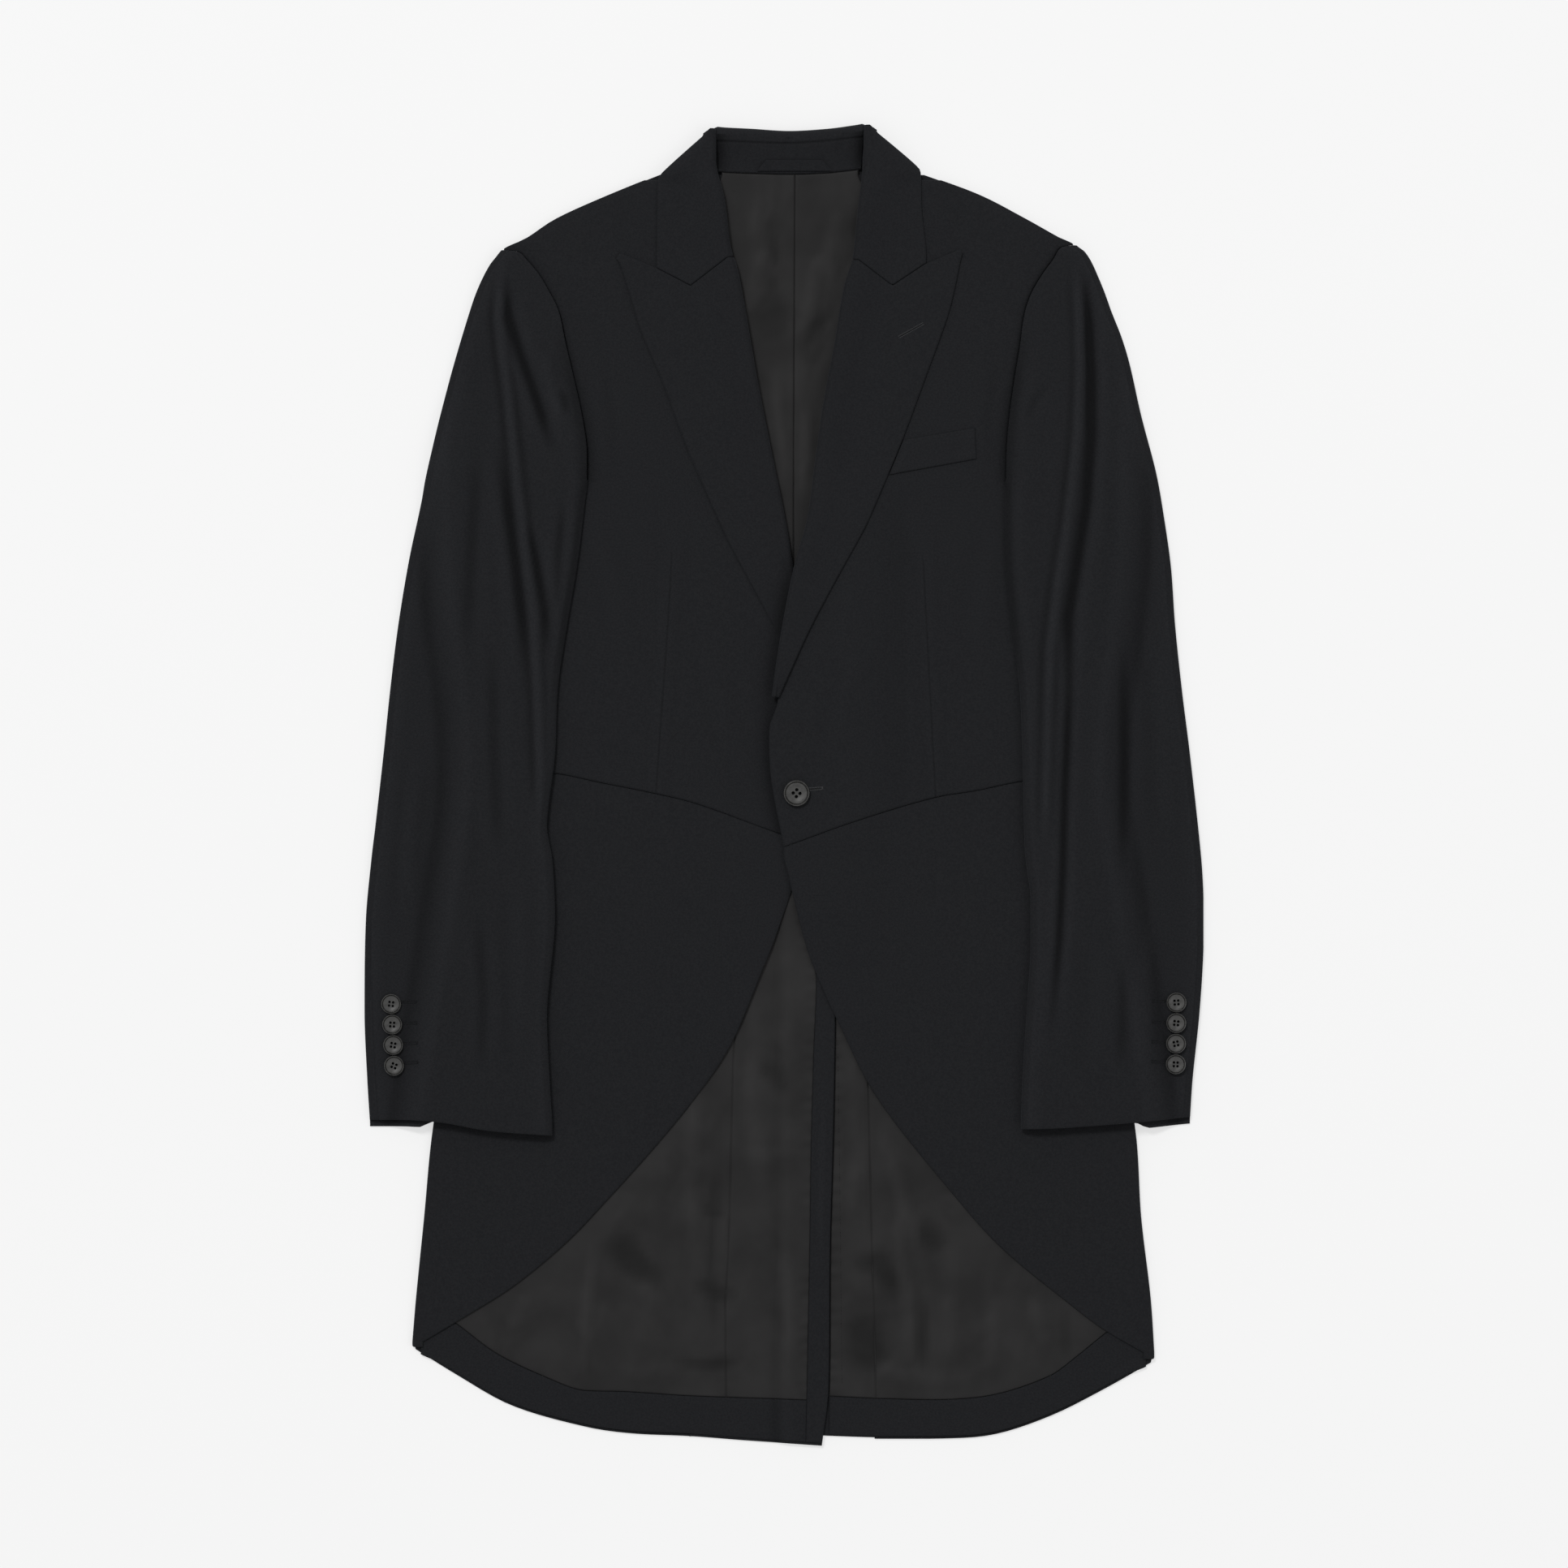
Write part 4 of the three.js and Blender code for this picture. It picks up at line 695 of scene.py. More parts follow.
# The back: two panels, seamed down the centre and open at the vent.
def make_back(side):
    s = SIGN[side]
    hem = track(HEM[side])

    def outer(y):
        above = shoulder_x[side](y) + s * np.where(y > SLEEVE_HEAD[side], -1, UNDER_SLEEVE)
        return np.where(y > SIDE_SEAM_TOP, above, s * (seam_x(y) - SEAM))

    def inner(y):
        opened = smooth((VENT_TOP - y) / 40)
        if side == "left":
            return mix(centre_x(y) - SEAM, vent_right(y), opened)
        return mix(centre_x(y) + SEAM, UNDERLAP, opened)

    hem_at = (lambda x: hem(x) + (1 if side == "right" else 0))
    grid = plan_grid(levels(BACK_TOP, BACK_LOW, 6, [TIP]), columns([outer, inner], [24]), hem_at, 40)
    under = (lambda x, y: neck_lift(x, y) + (vent_lift(x, y) if side == "left" else 0))
    panel(f"back_{side}", grid, under, WOOL, "wool")


for side in SIDES:
    make_back(side)


# The side bodies, between the back and the foreparts, under the arm.
def make_side_body(side):
    s = SIGN[side]
    outer = (lambda y: np.where(y > UNDERARM_Y, shoulder_x[side](y), side_x[side](y))
             + s * np.where(y > 230, UNDER_SLEEVE, -SEAM))
    inner = (lambda y: s * (seam_x(y) + SEAM))
    grid = plan_grid(levels(SIDE_TOP, SIDE_LOW, 5, [UNDERARM]), columns([outer, inner], [26]))
    panel(f"side_body_{side}", grid, lambda x, y: np.zeros(np.shape(x)), WOOL, "wool")


for side in SIDES:
    make_side_body(side)

# The foreparts, from the shoulder to the waist seam. Each ends inside the roll of its lapel.
ROLL_BACK = 4.8
WAIST_HOME = -16
DART = {
    "left": [(446, -76), (300, -81), (175, -82.5), (-7, -94.5), (-50, -97)],
    "right": [(446, 80), (300, 96), (172, 102.5), (-9, 112), (-50, 114)],
}
DART_TOP = {"left": 176, "right": 172}
# Height, width, fade and line of each fold of the foreparts, on their upper face alone.
FRONT_FOLDS = {
    "left": [
        (0.5, 9, 0.4, [(-150, 214), (-128, 150), (-118, 84)]),
        (0.45, 8, 0.4, [(-196, 150), (-180, 70), (-176, 12)]),
        (-0.3, 6, 0.4, [(-138, 330), (-128, 270), (-126, 214)]),
        (0.35, 7, 0.4, [(-60, 120), (-44, 40), (-20, -20)]),
    ],
    "right": [
        (0.5, 9, 0.4, [(160, 208), (146, 150), (140, 70)]),
        (0.45, 8, 0.4, [(204, 160), (190, 80), (186, 10)]),
        (-0.3, 6, 0.4, [(158, 330), (150, 270), (152, 222)]),
        (0.35, 7, 0.4, [(60, 120), (40, 50), (22, 4)]),
    ],
}
waist_ends = {}


def make_forepart(side):
    s = SIGN[side]
    outer = (lambda y: np.where(y > UNDERARM_Y, shoulder_x[side](y), side_x[side](y)) - s * SEAM)
    inner = (lambda y: roll_x[side](y) + s * ROLL_BACK * smooth((y - 40) / 20))
    waist = track(WAIST[side])
    dart = track(DART[side])
    waist_at = (lambda x: waist(x) + SEAM)
    across = columns([outer, dart, inner], [30, 30])
    grid = plan_grid(levels(FRONT_TOP, WAIST_HOME, 3.5, [TIP, UNDERARM]), across, waist_at, 75)
    waist_ends[side] = (grid[0][-1, -1], grid[0][-1, 0])
    soft = folds(FRONT_FOLDS[side])

    def relief(x, y):
        along = smooth((DART_TOP[side] - y) / 10)
        away = x - dart(y)
        groove = -0.55 * bell(away, 0.55) * along
        puff = 0.25 * bell(away, 5) * along
        point = 0.3 * bell(away, 7) * bell(y - DART_TOP[side], 12)
        return groove + puff + point + soft(x, y)

    def shade(x, y):
        # Painted shade in the valley along the armhole, and on the left front a painted shadow beside the
        # right front's edge, which lies over it.
        armhole_shade = 0.28 * bell(np.abs(outer(y)) - np.abs(x), 6)
        armhole_shade = armhole_shade * smooth((350 - y) / 60) * smooth((y - 214) / 12)
        crossing_shadow = 0.3 * bell(x - roll_x["right"](y), 7) * smooth((170 - y) / 50)
        return 1 - armhole_shade - (crossing_shadow if side == "left" else 0)

    panel(f"forepart_{side}", grid, lambda x, y: front_lift(side, x, y), FRONT, "wool",
          relief, roll=(0.5, 2.6), rim=(0.6, 0.5), shade=shade)


for side in SIDES:
    make_forepart(side)

# The skirts: from the cutaway edge out to the side, round, and back beneath to the back seam.
SKIRT_MIDDLE = FRONT_UNDER + WOOL / 2
SKIRT_END = {"left": -412, "right": -420}
SKIRT_DROP = {"left": 4, "right": 5}
SKIRT_FOLDS = {
    "left": [
        (0.7, 12, 0.4, [(-70, -40), (-96, -110), (-120, -190)]),
        (0.5, 10, 0.4, [(-186, -20), (-204, -140), (-216, -280)]),
        (-0.4, 9, 0.4, [(-130, -60), (-160, -170), (-184, -250)]),
    ],
    "right": [
        (0.7, 12, 0.4, [(84, -40), (104, -120), (122, -200)]),
        (0.5, 10, 0.4, [(190, -20), (206, -150), (222, -290)]),
        (-0.4, 9, 0.4, [(140, -60), (164, -170), (190, -260)]),
    ],
}


def skirt_hem(side, last, base_from):
    """The rows below a skirt's last one: its front drops a little, and its base reaches the hem."""
    hem = track(HEM[side])
    is_base = np.arange(len(last)) >= base_from
    rows = []
    for step in (0.06, 0.2, 0.4, 0.6, 0.8, 0.95, 1):
        row = last.copy()
        row[:, 1] += np.where(is_base, (hem(last[:, 0]) - last[:, 1]) * step, -SKIRT_DROP[side] * step)
        row[-1, 0] = SIGN[side] * (seam_x(row[-1, 1]) + GAP)
        rows.append(row)
    return np.array(rows)


def make_skirt(side):
    s = SIGN[side]
    edge, waist = track(CUTAWAY[side]), track(WAIST[side])
    turn = (SKIRT_MIDDLE - WOOL / 2) / 2
    ends = waist_ends[side]
    y = levels(SKIRT_TOP, SKIRT_END[side], 4)[:, None]
    first = np.interp(-y, [-SKIRT_TOP, 62, 98], [1, 0.38, 0])
    at_waist = (lambda x: y + (waist(x) - SEAM - SKIRT_TOP) * first)
    fold_x = side_x[side](y) - s * (turn + WOOL / 2)
    share = np.linspace(0, 0.975, 46)
    wide = np.abs(fold_x - edge(y))
    rims = np.minimum(RIM[None, :-1] / np.maximum(wide, 1), RIM[None, :-1] / RIM[-2] * 0.018)
    share = np.concatenate([rims, np.broadcast_to(share[1:], (len(y), 45))], axis=1)
    below = mix(edge(y), fold_x, share)
    x = mix(mix(ends[0], ends[1], share), below, np.clip((SKIRT_TOP - y) / 26, 0, 1))
    top_y = at_waist(x)
    top = np.stack([x, top_y, SKIRT_MIDDLE + skirt_lift(side, x, top_y)], -1)
    angle = np.linspace(0, math.pi, 9)[None, :]
    x = fold_x + s * turn * np.sin(angle)
    bend = np.stack([x, at_waist(x), np.broadcast_to(WOOL / 2 + turn * (1 + np.cos(angle)), x.shape)], -1)
    seam = s * (seam_x(y) + SEAM)
    share = np.linspace(0, 1, 26)[1:-1]
    rims = 1 - RIM[::-1] / np.abs(seam - fold_x)
    share = np.concatenate([np.broadcast_to(share, (len(y), 24)), rims], axis=1)
    x = mix(fold_x, seam, share)
    base = np.stack([x, mix(at_waist(x), SIDE_LOW - SEAM, first), np.full(x.shape, WOOL / 2)], -1)
    middle = np.concatenate([top, bend, base], axis=1)
    hem_rows = skirt_hem(side, middle[-1], top.shape[1] + bend.shape[1] - 1)
    middle = np.concatenate([middle, hem_rows])
    relief = folds(SKIRT_FOLDS[side])(middle[..., 0], middle[..., 1])
    relief[:, top.shape[1]:] = 0
    turned(f"skirt_{side}", middle, WOOL, "wool", relief, roll=(0.6, 2.0))


for side in SIDES:
    make_skirt(side)

neck_seam = track([(row[0], row[1]) for row in STAND])

# How much painted shade a fold's trough puts on the satin, and how much painted highlight its ridge.
SATIN_PAINTED_LIGHT = 0.5

# The lining of the back, seen in the neck between the lapels.
NECK_FOLDS = [
    (0.9, 6, 0.4, [(-26, 440), (-18, 392), (-24, 340)]),
    (0.7, 5, 0.4, [(40, 436), (34, 390), (40, 340)]),
    (-0.5, 5, 0.4, [(-10, 430), (-6, 380), (-12, 330)]),
    (0.9, 5, 0.4, [(26, 392), (18, 352), (12, 316)]),
    (-0.5, 4, 0.4, [(30, 356), (22, 322), (16, 290)]),
    (0.8, 4, 0.4, [(-8, 312), (-3, 262), (1, 214)]),
    (0.7, 4, 0.4, [(17, 290), (15, 240), (13, 200)]),
    (-1.3, 12, 0.4, [(-14, 366), (-8, 340), (-4, 322)]),
    (0.9, 8, 0.4, [(-24, 392), (-8, 380), (2, 384)]),
    (0.9, 8, 0.4, [(18, 388), (30, 380), (38, 386)]),
    (-1.0, 9, 0.4, [(28, 350), (22, 326), (18, 306)]),
]
neck_soft = folds(NECK_FOLDS)


def make_back_lining(side):
    s = SIGN[side]
    edge = track(NECK_LINING, COLUMN[side])
    across = columns([edge, lambda y: centre_x(y) + s * SEAM], [22])
    grid = plan_grid(levels(NECK_LINING_LOW, NECK_LINING_TOP, 4), across, lambda x: neck_seam(x) - GAP, 30)

    def relief(x, y):
        return np.maximum(-0.5, neck_soft(x, y)) * smooth((440 - y) / 20)

    def shade(x, y):
        # Painted shade over the whole neck lining, darker in the troughs of its folds, with painted highlight
        # on their ridges.
        return 0.8 * (1 + SATIN_PAINTED_LIGHT * np.clip(neck_soft(x, y), -0.8, 0.4))

    panel(f"lining_back_{side}", grid, lambda x, y: LINING_UNDER + neck_lift(x, y), LINING, "lining",
          relief, roll=(0.4, 1.6), shade=shade)


for side in SIDES:
    make_back_lining(side)

# The facing strip on the edge of the left tail, and the linings and hem facings of both tails.
def tail_under(x, y):
    return LINING_UNDER + vent_lift(x, y)


left_hem = track(HEM["left"])
strip = columns([lambda y: vent_left(y) + SEAM, lambda y: vent_right(y) - 0.2], [8])
grid = plan_grid(levels(STRIP_TOP, STRIP_LOW, 4), strip, lambda x: left_hem(x) + 2, 30)
STRIP_FOLDS = folds([
    (0.5, 3, 0.3, [(30, -210), (27, -300), (28, -380)]),
    (-0.4, 2.5, 0.3, [(24, -250), (22, -330)]),
])
panel("vent_facing", grid, tail_under, FACING, "wool", STRIP_FOLDS, roll=(0.5, 2.0))

LINING_INSET = 9
# The seam down each tail lining, and its soft folds, which also set the satin's painted shade in troughs and
# painted highlight on ridges.
SEAM_DEPTH = 0.5
TAIL_SEAM = {
    "left": [(-104, -33), (-206, -37.5), (-344, -41), (-388, -43.5), (-452, -43)],
    "right": [(-104, 60), (-206, 62), (-344, 65), (-388, 66.5), (-460, 68)],
}
TAIL_FOLDS = {
    "left": [
        (0.9, 6, 0.35, [(-20, -150), (-24, -240), (-14, -320)]),
        (0.7, 5, 0.35, [(-62, -200), (-70, -290), (-66, -380)]),
        (-0.5, 4, 0.35, [(-48, -260), (-54, -350), (-52, -420)]),
        (0.5, 6, 0.35, [(-84, -250), (-96, -300), (-104, -420)]),
        (0.6, 5, 0.35, [(-2, -330), (4, -400), (0, -446)]),
        (0.7, 4, 0.3, [(-140, -330), (-148, -400), (-142, -440)]),
        (-0.45, 3, 0.3, [(-147, -405), (-141, -442)]),
        (0.5, 5, 0.3, [(-30, -420), (-80, -432), (-128, -436)]),
        (0.5, 4, 0.3, [(-190, -376), (-204, -404)]),
        (-1.8, 9, 0.4, [(-138, -332), (-112, -352), (-84, -374)]),
        (-1.0, 6, 0.4, [(-71, -365), (-50, -376), (-29, -384)]),
        (-1.3, 5, 0.4, [(-88, -430), (-28, -427)]),
        (-0.8, 6, 0.4, [(-25, -206), (-8, -214), (4, -235)]),
        (-0.8, 4, 0.4, [(-64, -313), (-42, -319)]),
    ],
    "right": [
        (0.8, 6, 0.35, [(50, -200), (54, -280), (48, -350)]),
        (0.7, 5, 0.35, [(84, -250), (86, -330), (92, -420)]),
        (-0.5, 3, 0.3, [(99, -366), (99.5, -434)]),
        (0.4, 6, 0.35, [(118, -330), (124, -380), (120, -436)]),
        (0.6, 5, 0.35, [(150, -350), (154, -400), (150, -440)]),
        (-0.45, 3, 0.3, [(207, -384), (209, -430)]),
        (0.6, 5, 0.3, [(182, -372), (190, -410), (184, -434)]),
        (0.5, 5, 0.3, [(60, -430), (104, -440), (146, -436)]),
        (-1.6, 7, 0.4, [(46, -354), (70, -354), (88, -384)]),
        (-1.8, 12, 0.4, [(54, -388), (60, -412), (70, -438)]),
        (-1.1, 7, 0.4, [(98, -323), (120, -349)]),
        (-1.0, 4, 0.4, [(104, -372), (102, -440)]),
        (1.0, 5, 0.3, [(67, -248), (85, -297), (96, -335), (100, -375)]),
    ],
}
FOLD_REACH = 5.0


def make_tail_lining(side):
    s = SIGN[side]
    facing, hem = track(HEM_FACING[side]), track(HEM[side])
    outer = (lambda y: side_x[side](y) - s * LINING_INSET)
    seam = track(TAIL_SEAM[side])
    if side == "left":
        inner = (lambda y: vent_left(y) - SEAM)
        under = tail_under
    else:
        inner = (lambda y: vent_right(y) + 2 * GAP)
        under = (lambda x, y: np.full(np.shape(x), LINING_UNDER))
    across = columns([outer, seam, inner], [52, 18])
    grid = plan_grid(levels(TAIL_LINING_TOP, TAIL_LINING_LOW, 4), across, lambda x: facing(x) + SEAM, 210)
    soft = folds(TAIL_FOLDS[side])

    def relief(x, y):
        away = x - seam(y)
        ripple = 0.16 * np.sin(y * 2 * math.pi / 4.6) * bell(away, 3)
        pucker = 0.3 * np.sin(y * 2 * math.pi / 11.0 + np.sin(y / 17)) * bell(x - inner(y), 7)
        return -SEAM_DEPTH * bell(away, 0.6) + ripple + pucker + np.maximum(-0.5, soft(x, y))

    def shade(x, y):
        # Painted shade in the troughs of the satin's folds and painted highlight on their ridges.
        return 1 + SATIN_PAINTED_LIGHT * np.clip(soft(x, y), -1.2, 0.25)

    panel(f"lining_tail_{side}", grid, under, LINING, "lining", relief, roll=(0.4, 1.6), shade=shade)
    x_top, y_top = grid[0][-1], grid[1][-1]
    down = shares(9, 30)[:, None]
    y = mix(y_top - GAP, hem(x_top) + 2, down)
    x = np.repeat(x_top[None, :], len(down), axis=0)
    # Its outer end reaches into the fold at the side of the coat.
    x = x + s * FOLD_REACH * smooth(1 - np.abs(x - x[:, :1]) / 12)
    if side == "left":
        # It ends at the vent's facing strip.
        x = np.minimum(x, vent_left(y) - SEAM)
        # Columns that the vent's edge pushes together stay a little apart.
        x -= np.arange(x.shape[1])[::-1] * 1e-3
    panel(f"hem_facing_{side}", (x, y), under, FACING, "wool", roll=(0.5, 2.0))


for side in SIDES:
    make_tail_lining(side)

# The lapels: from the outer edge in to the roll, over it and down to the forepart's edge.
LAPEL_STOPS = {"left": [-124, -94], "right": [133, 105]}
GORGE_GAP = 0.12
GORGE_BEND = 9.5
ROLL_SOFT = 16
LEAF_RISE = 4.5
LEAF_BEND = 4
TURN_ANGLE = 0.85 * math.pi
TURNS = np.concatenate([np.linspace(0, 0.92, 11), [0.96, 0.985, 1]]) * TURN_ANGLE


def on_front(side, x, y):
    return front_lift(side, x, y) + FRONT + GAP + 0.1 + LAPEL / 2


def turn_of(rise):
    return 0.5 * (FRONT / 2 + GAP + 0.1 + LAPEL / 2 + rise)


def crest_of(side, y, rise):
    return roll_x[side](y) + SIGN[side] * (turn_of(rise) + LAPEL / 2)


def outer_shares(wide, count):
    """Shares of the way from an outer edge to the crest, with a rim at the edge."""
    inner = np.linspace(0, 1, count)[1:-1]
    rim = np.minimum(RIM[None, :] / wide, RIM[None, :] / RIM[-1] * inner[0] * 0.8)
    return np.concatenate([rim, np.broadcast_to(inner, (len(wide), count - 2))], axis=1)


def rolled(side, crest, y, top, turn):
    """Middle points of a lapel or leaf where it turns over its crest and under."""
    x = crest - SIGN[side] * turn * np.sin(TURNS)
    return np.stack([x, np.broadcast_to(y, x.shape), top - turn * (1 - np.cos(TURNS))], -1)


# How far the lapel's face falls to the front at its lower end.
LAPEL_END = 1.1
LAPEL_FOLDS = {
    "left": [(0.35, 7, 0.4, [(-92, 350), (-70, 290), (-50, 230)])],
    "right": [(0.35, 7, 0.4, [(106, 356), (84, 300), (62, 240)])],
}


def make_lapel(side):
    edge, gorge = track(LAPEL_EDGE[side]), straight(GORGE[side])
    top = GORGE_LEVEL["lapel"]
    level = levels(top, LAPEL_LOW, 3.2)[:, None]
    weight = smooth((level - 300) / 80)
    tip = GORGE[side][0 if side == "left" else -1][1]
    outer = edge(level + (tip - GORGE_GAP - top) * weight)
    bent = level + GORGE_BEND * weight
    rise = track(LAPEL_ROLL, COLUMN[side])(bent)
    crest = crest_of(side, bent, rise)
    y_at = (lambda x: level + (gorge(x) - GORGE_GAP - top) * weight)
    x = mix(outer, crest, outer_shares(np.abs(crest - outer), 34))
    y = y_at(x)
    flat = np.stack([x, y, on_front(side, x, y) + rise * bell(x - crest, ROLL_SOFT)], -1)
    y = y_at(crest)
    bend = rolled(side, crest, y, on_front(side, crest, y) + rise, turn_of(rise))
    middle = np.concatenate([flat, bend], axis=1)
    relief = folds(LAPEL_FOLDS[side])(middle[..., 0], middle[..., 1])
    relief -= LAPEL_END * smooth((78 - middle[..., 1]) / 12)
    relief[:, flat.shape[1]:] = 0
    x, y = middle[..., 0], middle[..., 1]
    # Painted shadow on the left lapel beside the edge of the right front, which lies over it.
    crossing_shadow = 0.45 * bell(x - roll_x["right"](y), 9) * smooth((190 - y) / 60)
    shade = 1 - crossing_shadow if side == "left" else np.ones(x.shape)
    turned(f"lapel_{side}", middle, LAPEL, "wool", relief, roll=(0.5, 2.2), shade=shade)


for side in SIDES:
    make_lapel(side)

# The collar: a leaf on each side of the neck, and behind the neck its stand and fall.
LEAF_TOP = {"left": 480, "right": 482.6}
LEAF_SLANT = 0.79
LEAF_SLANT_REACH = 30


def make_collar_leaf(side):
    s = SIGN[side]
    edge, gorge = track(LEAF_EDGE[side]), straight(GORGE[side])
    level = levels(LEAF_TOP[side], GORGE_LEVEL["leaf"], 2.4)[:, None]
    weight = smooth((430 - level) / 44)
    crest = crest_of(side, level + LEAF_BEND * weight, LEAF_RISE)
    top_out = np.abs(crest_of(side, LEAF_TOP[side], LEAF_RISE)) + 5
    slant = LEAF_SLANT * smooth(1 - (LEAF_TOP[side] - level) / LEAF_SLANT_REACH)

    def y_at(x):
        at_gorge = (gorge(x) + GORGE_GAP - GORGE_LEVEL["leaf"]) * weight
        return level + at_gorge + slant * np.maximum(top_out - np.abs(x), 0)

    reach = np.abs(mix(edge(level), LAPEL_STOPS[side][1], weight))
    outer = s * np.maximum(reach, np.abs(crest) + 5)

    def height(x):
        shoulder = rounding((np.abs(edge(level)) - np.abs(x) + 2) / 14)
        near = np.clip(1 - np.abs(x - crest) / 6, 0, 1)
        lying = on_front(side, x, np.minimum(y_at(x), shoulder_y[side](x) - 2))
        opened = smooth((level - 440) / 14)
        free = mix(4.6, 12.6, np.maximum(shoulder, near))
        return mix(lying + LEAF_RISE * bell(x - crest, ROLL_SOFT), free, opened)

    x = mix(outer, crest, outer_shares(np.abs(crest - outer), 24))
    flat = np.stack([x, y_at(x), height(x)], -1)
    bend = rolled(side, crest, y_at(crest), height(crest), turn_of(LEAF_RISE))
    turned(f"collar_leaf_{side}", np.concatenate([flat, bend], axis=1), LAPEL, "wool", 0, roll=(0.5, 2.2))


for side in SIDES:
    make_collar_leaf(side)

# Behind the neck: from the neck seam up the stand, over the crease, and down the fall beneath.
STAND_LOW = NECK_RISE + WOOL + GAP + WOOL / 2
STAND_HIGH = 9.6
CREASE_RADIUS = (STAND_HIGH - WOOL / 2) / 2
STAND_TUCK = 5.0
STAND_FOOT, STAND_HEAD = 450.5, 482.4
# Low down, the crease's ends reach under the rolls of the two leaves.
LEAF_REACH = 4.5
# The seam along the stand, and the short puckers that it draws in the cloth: place and height.
STAND_SEAM = track([(-50, 475), (-20, 473.6), (4, 473), (30, 474.6), (59, 478)])
PUCKERS = [(-34, 0.5), (-29, -0.4), (-13, 0.35), (-2, 0.6), (3, -0.5), (9, 0.4), (24, 0.35), (38, 0.5),
           (44, -0.4)]


def collar_walls():
    """Middle points of the stand, of the crease over it and of the fall beneath."""
    place = levels(0, 100, 0.8)[:, None] / 100 * (len(STAND) - 1)
    table = [(i, *row) for i, row in enumerate(STAND)]
    seam_at_x, seam_at_y, crease_x, crease_y, fall_x, fall_y, sink = (
        track(table, column)(place) for column in range(1, 8))
    crest = crease_y - CREASE_RADIUS - WOOL / 2
    u = np.concatenate([RIM / 30, np.linspace(0, 1, 50)[1:-1]])[None, :]
    # The stand's left end is sunk, and reaches on under the leaf's roll.
    tucked = STAND_TUCK * smooth(0.6 - place) * np.sin(math.pi * u) ** 0.5
    stand = np.stack([mix(seam_at_x, crease_x, u) - tucked, mix(seam_at_y, crest, u),
                      mix(STAND_LOW, STAND_HIGH, smooth(u)) - sink * np.sin(math.pi * u)], -1)
    angle = np.linspace(0, math.pi, 13)[None, :]
    ends = LEAF_REACH * (smooth(place - 5.5) - smooth(0.5 - place))
    z = WOOL / 2 + CREASE_RADIUS * (1 + np.cos(angle))
    x = crease_x + ends * smooth((5 - z) / 2.5)
    crease = np.stack([x, crest + CREASE_RADIUS * np.sin(angle), np.broadcast_to(z, x.shape)], -1)
    u = np.concatenate([np.linspace(0, 1, 14)[1:-1], 1 - RIM[::-1] / 40])[None, :]
    fall = np.stack([mix(crease_x + ends, fall_x, u), mix(crest, fall_y, u),
                     np.full((len(place), u.size), WOOL / 2)], -1)
    return stand, crease, fall


def make_collar_back():
    stand, crease, fall = collar_walls()
    middle = np.concatenate([stand, crease, fall], axis=1)
    seen = np.zeros(middle.shape[:2])
    seen[:, :stand.shape[1]] = 1
    x, y = middle[..., 0], middle[..., 1]
    away = y - STAND_SEAM(x)
    relief = -0.9 * bell(away, 0.7)
    for at, high in PUCKERS:
        relief = relief + 1.8 * high * bell(x - at - (y - 474) * 0.1, 1.6) * bell(y - 475, 8)
    # Painted shade at both ends of the stand, where it folds in under the leaves, and along its seam.
    shade = 1 - 0.5 * bell(np.maximum(np.minimum(x + 50, 59 - x), 0), 7) - 0.3 * bell(away, 0.8)
    turned("collar_back", middle, WOOL, "wool", relief * seen, roll=(0.3, 1.5), shade=1 + (shade - 1) * seen)


make_collar_back()


def stand_top(y):
    """The height of the stand's upper face at the middle of the neck."""
    u = np.clip((y - STAND_FOOT) / (STAND_HEAD - CREASE_RADIUS - WOOL / 2 - STAND_FOOT), 0, 1)
    return mix(STAND_LOW, STAND_HIGH, smooth(u)) + WOOL / 2


# The hanger loop, sewn across the stand at the neck seam.
LOOP_TOP, LOOP_LOW = 460.8, 452.6


def make_hanger_loop():
    left = track([(LOOP_LOW, -20), (LOOP_TOP, -13.5)])
    right = track([(LOOP_LOW, 36), (LOOP_TOP, 28)])
    grid = plan_grid(levels(LOOP_LOW, LOOP_TOP, 0.8), columns([left, right], [24]))
    panel("hanger_loop", grid, lambda x, y: stand_top(y) + GAP + 0.2, LOOP, "wool", roll=(0.3, 1.0))


make_hanger_loop()

# The chest welt, on the right forepart.
WELT_CORNERS = [(76, 228), (142, 240), (88, 254), (141, 263)]


def make_chest_welt():
    u, v = shares(22, 60)[None, :], shares(10, 24)[:, None]
    corners = np.array(WELT_CORNERS, float)
    low_left, low_right, high_left, high_right = corners[:, :, None, None]
    x, y = mix(mix(low_left, low_right, u), mix(high_left, high_right, u), v)
    # Its inner end is hidden by the lapel.
    x = np.maximum(x, track(LAPEL_EDGE["right"])(y) + 0.7 + u * 0.01)
    panel("chest_welt", (x, y), lambda x, y: front_lift("right", x, y) + FRONT + GAP, WELT, "wool",
          roll=(0.5, 1.8))


make_chest_welt()

# The sleeves: an under sleeve, and a top sleeve over it. Both reach from edge to edge.
# How high the top sleeve stands over the under sleeve, how wide its rounded edges are, and
# how far its inner edge is pressed down beside the body.
SLEEVE_HOLLOW = 3.9
SLEEVE_ROUND = 13
SLEEVE_CREST = 0.5
SLEEVE_SEAT = 1.8
ARMHOLE_END = 224
SLEEVE_TOP = {"left": 394.2, "right": 397.8}


def body_under(side, x, y):
    over = np.abs(side_x[side](np.minimum(y, UNDERARM_Y))) - np.abs(x)
    lying = FRONT_UNDER + CHEST_RISE + FRONT + SLEEVE_CLEAR
    low = 4.0 * smooth((250 - np.abs(x)) / 70)
    return mix(low, lying * smooth((over + 34) / 26), smooth((304 - y) / 80))


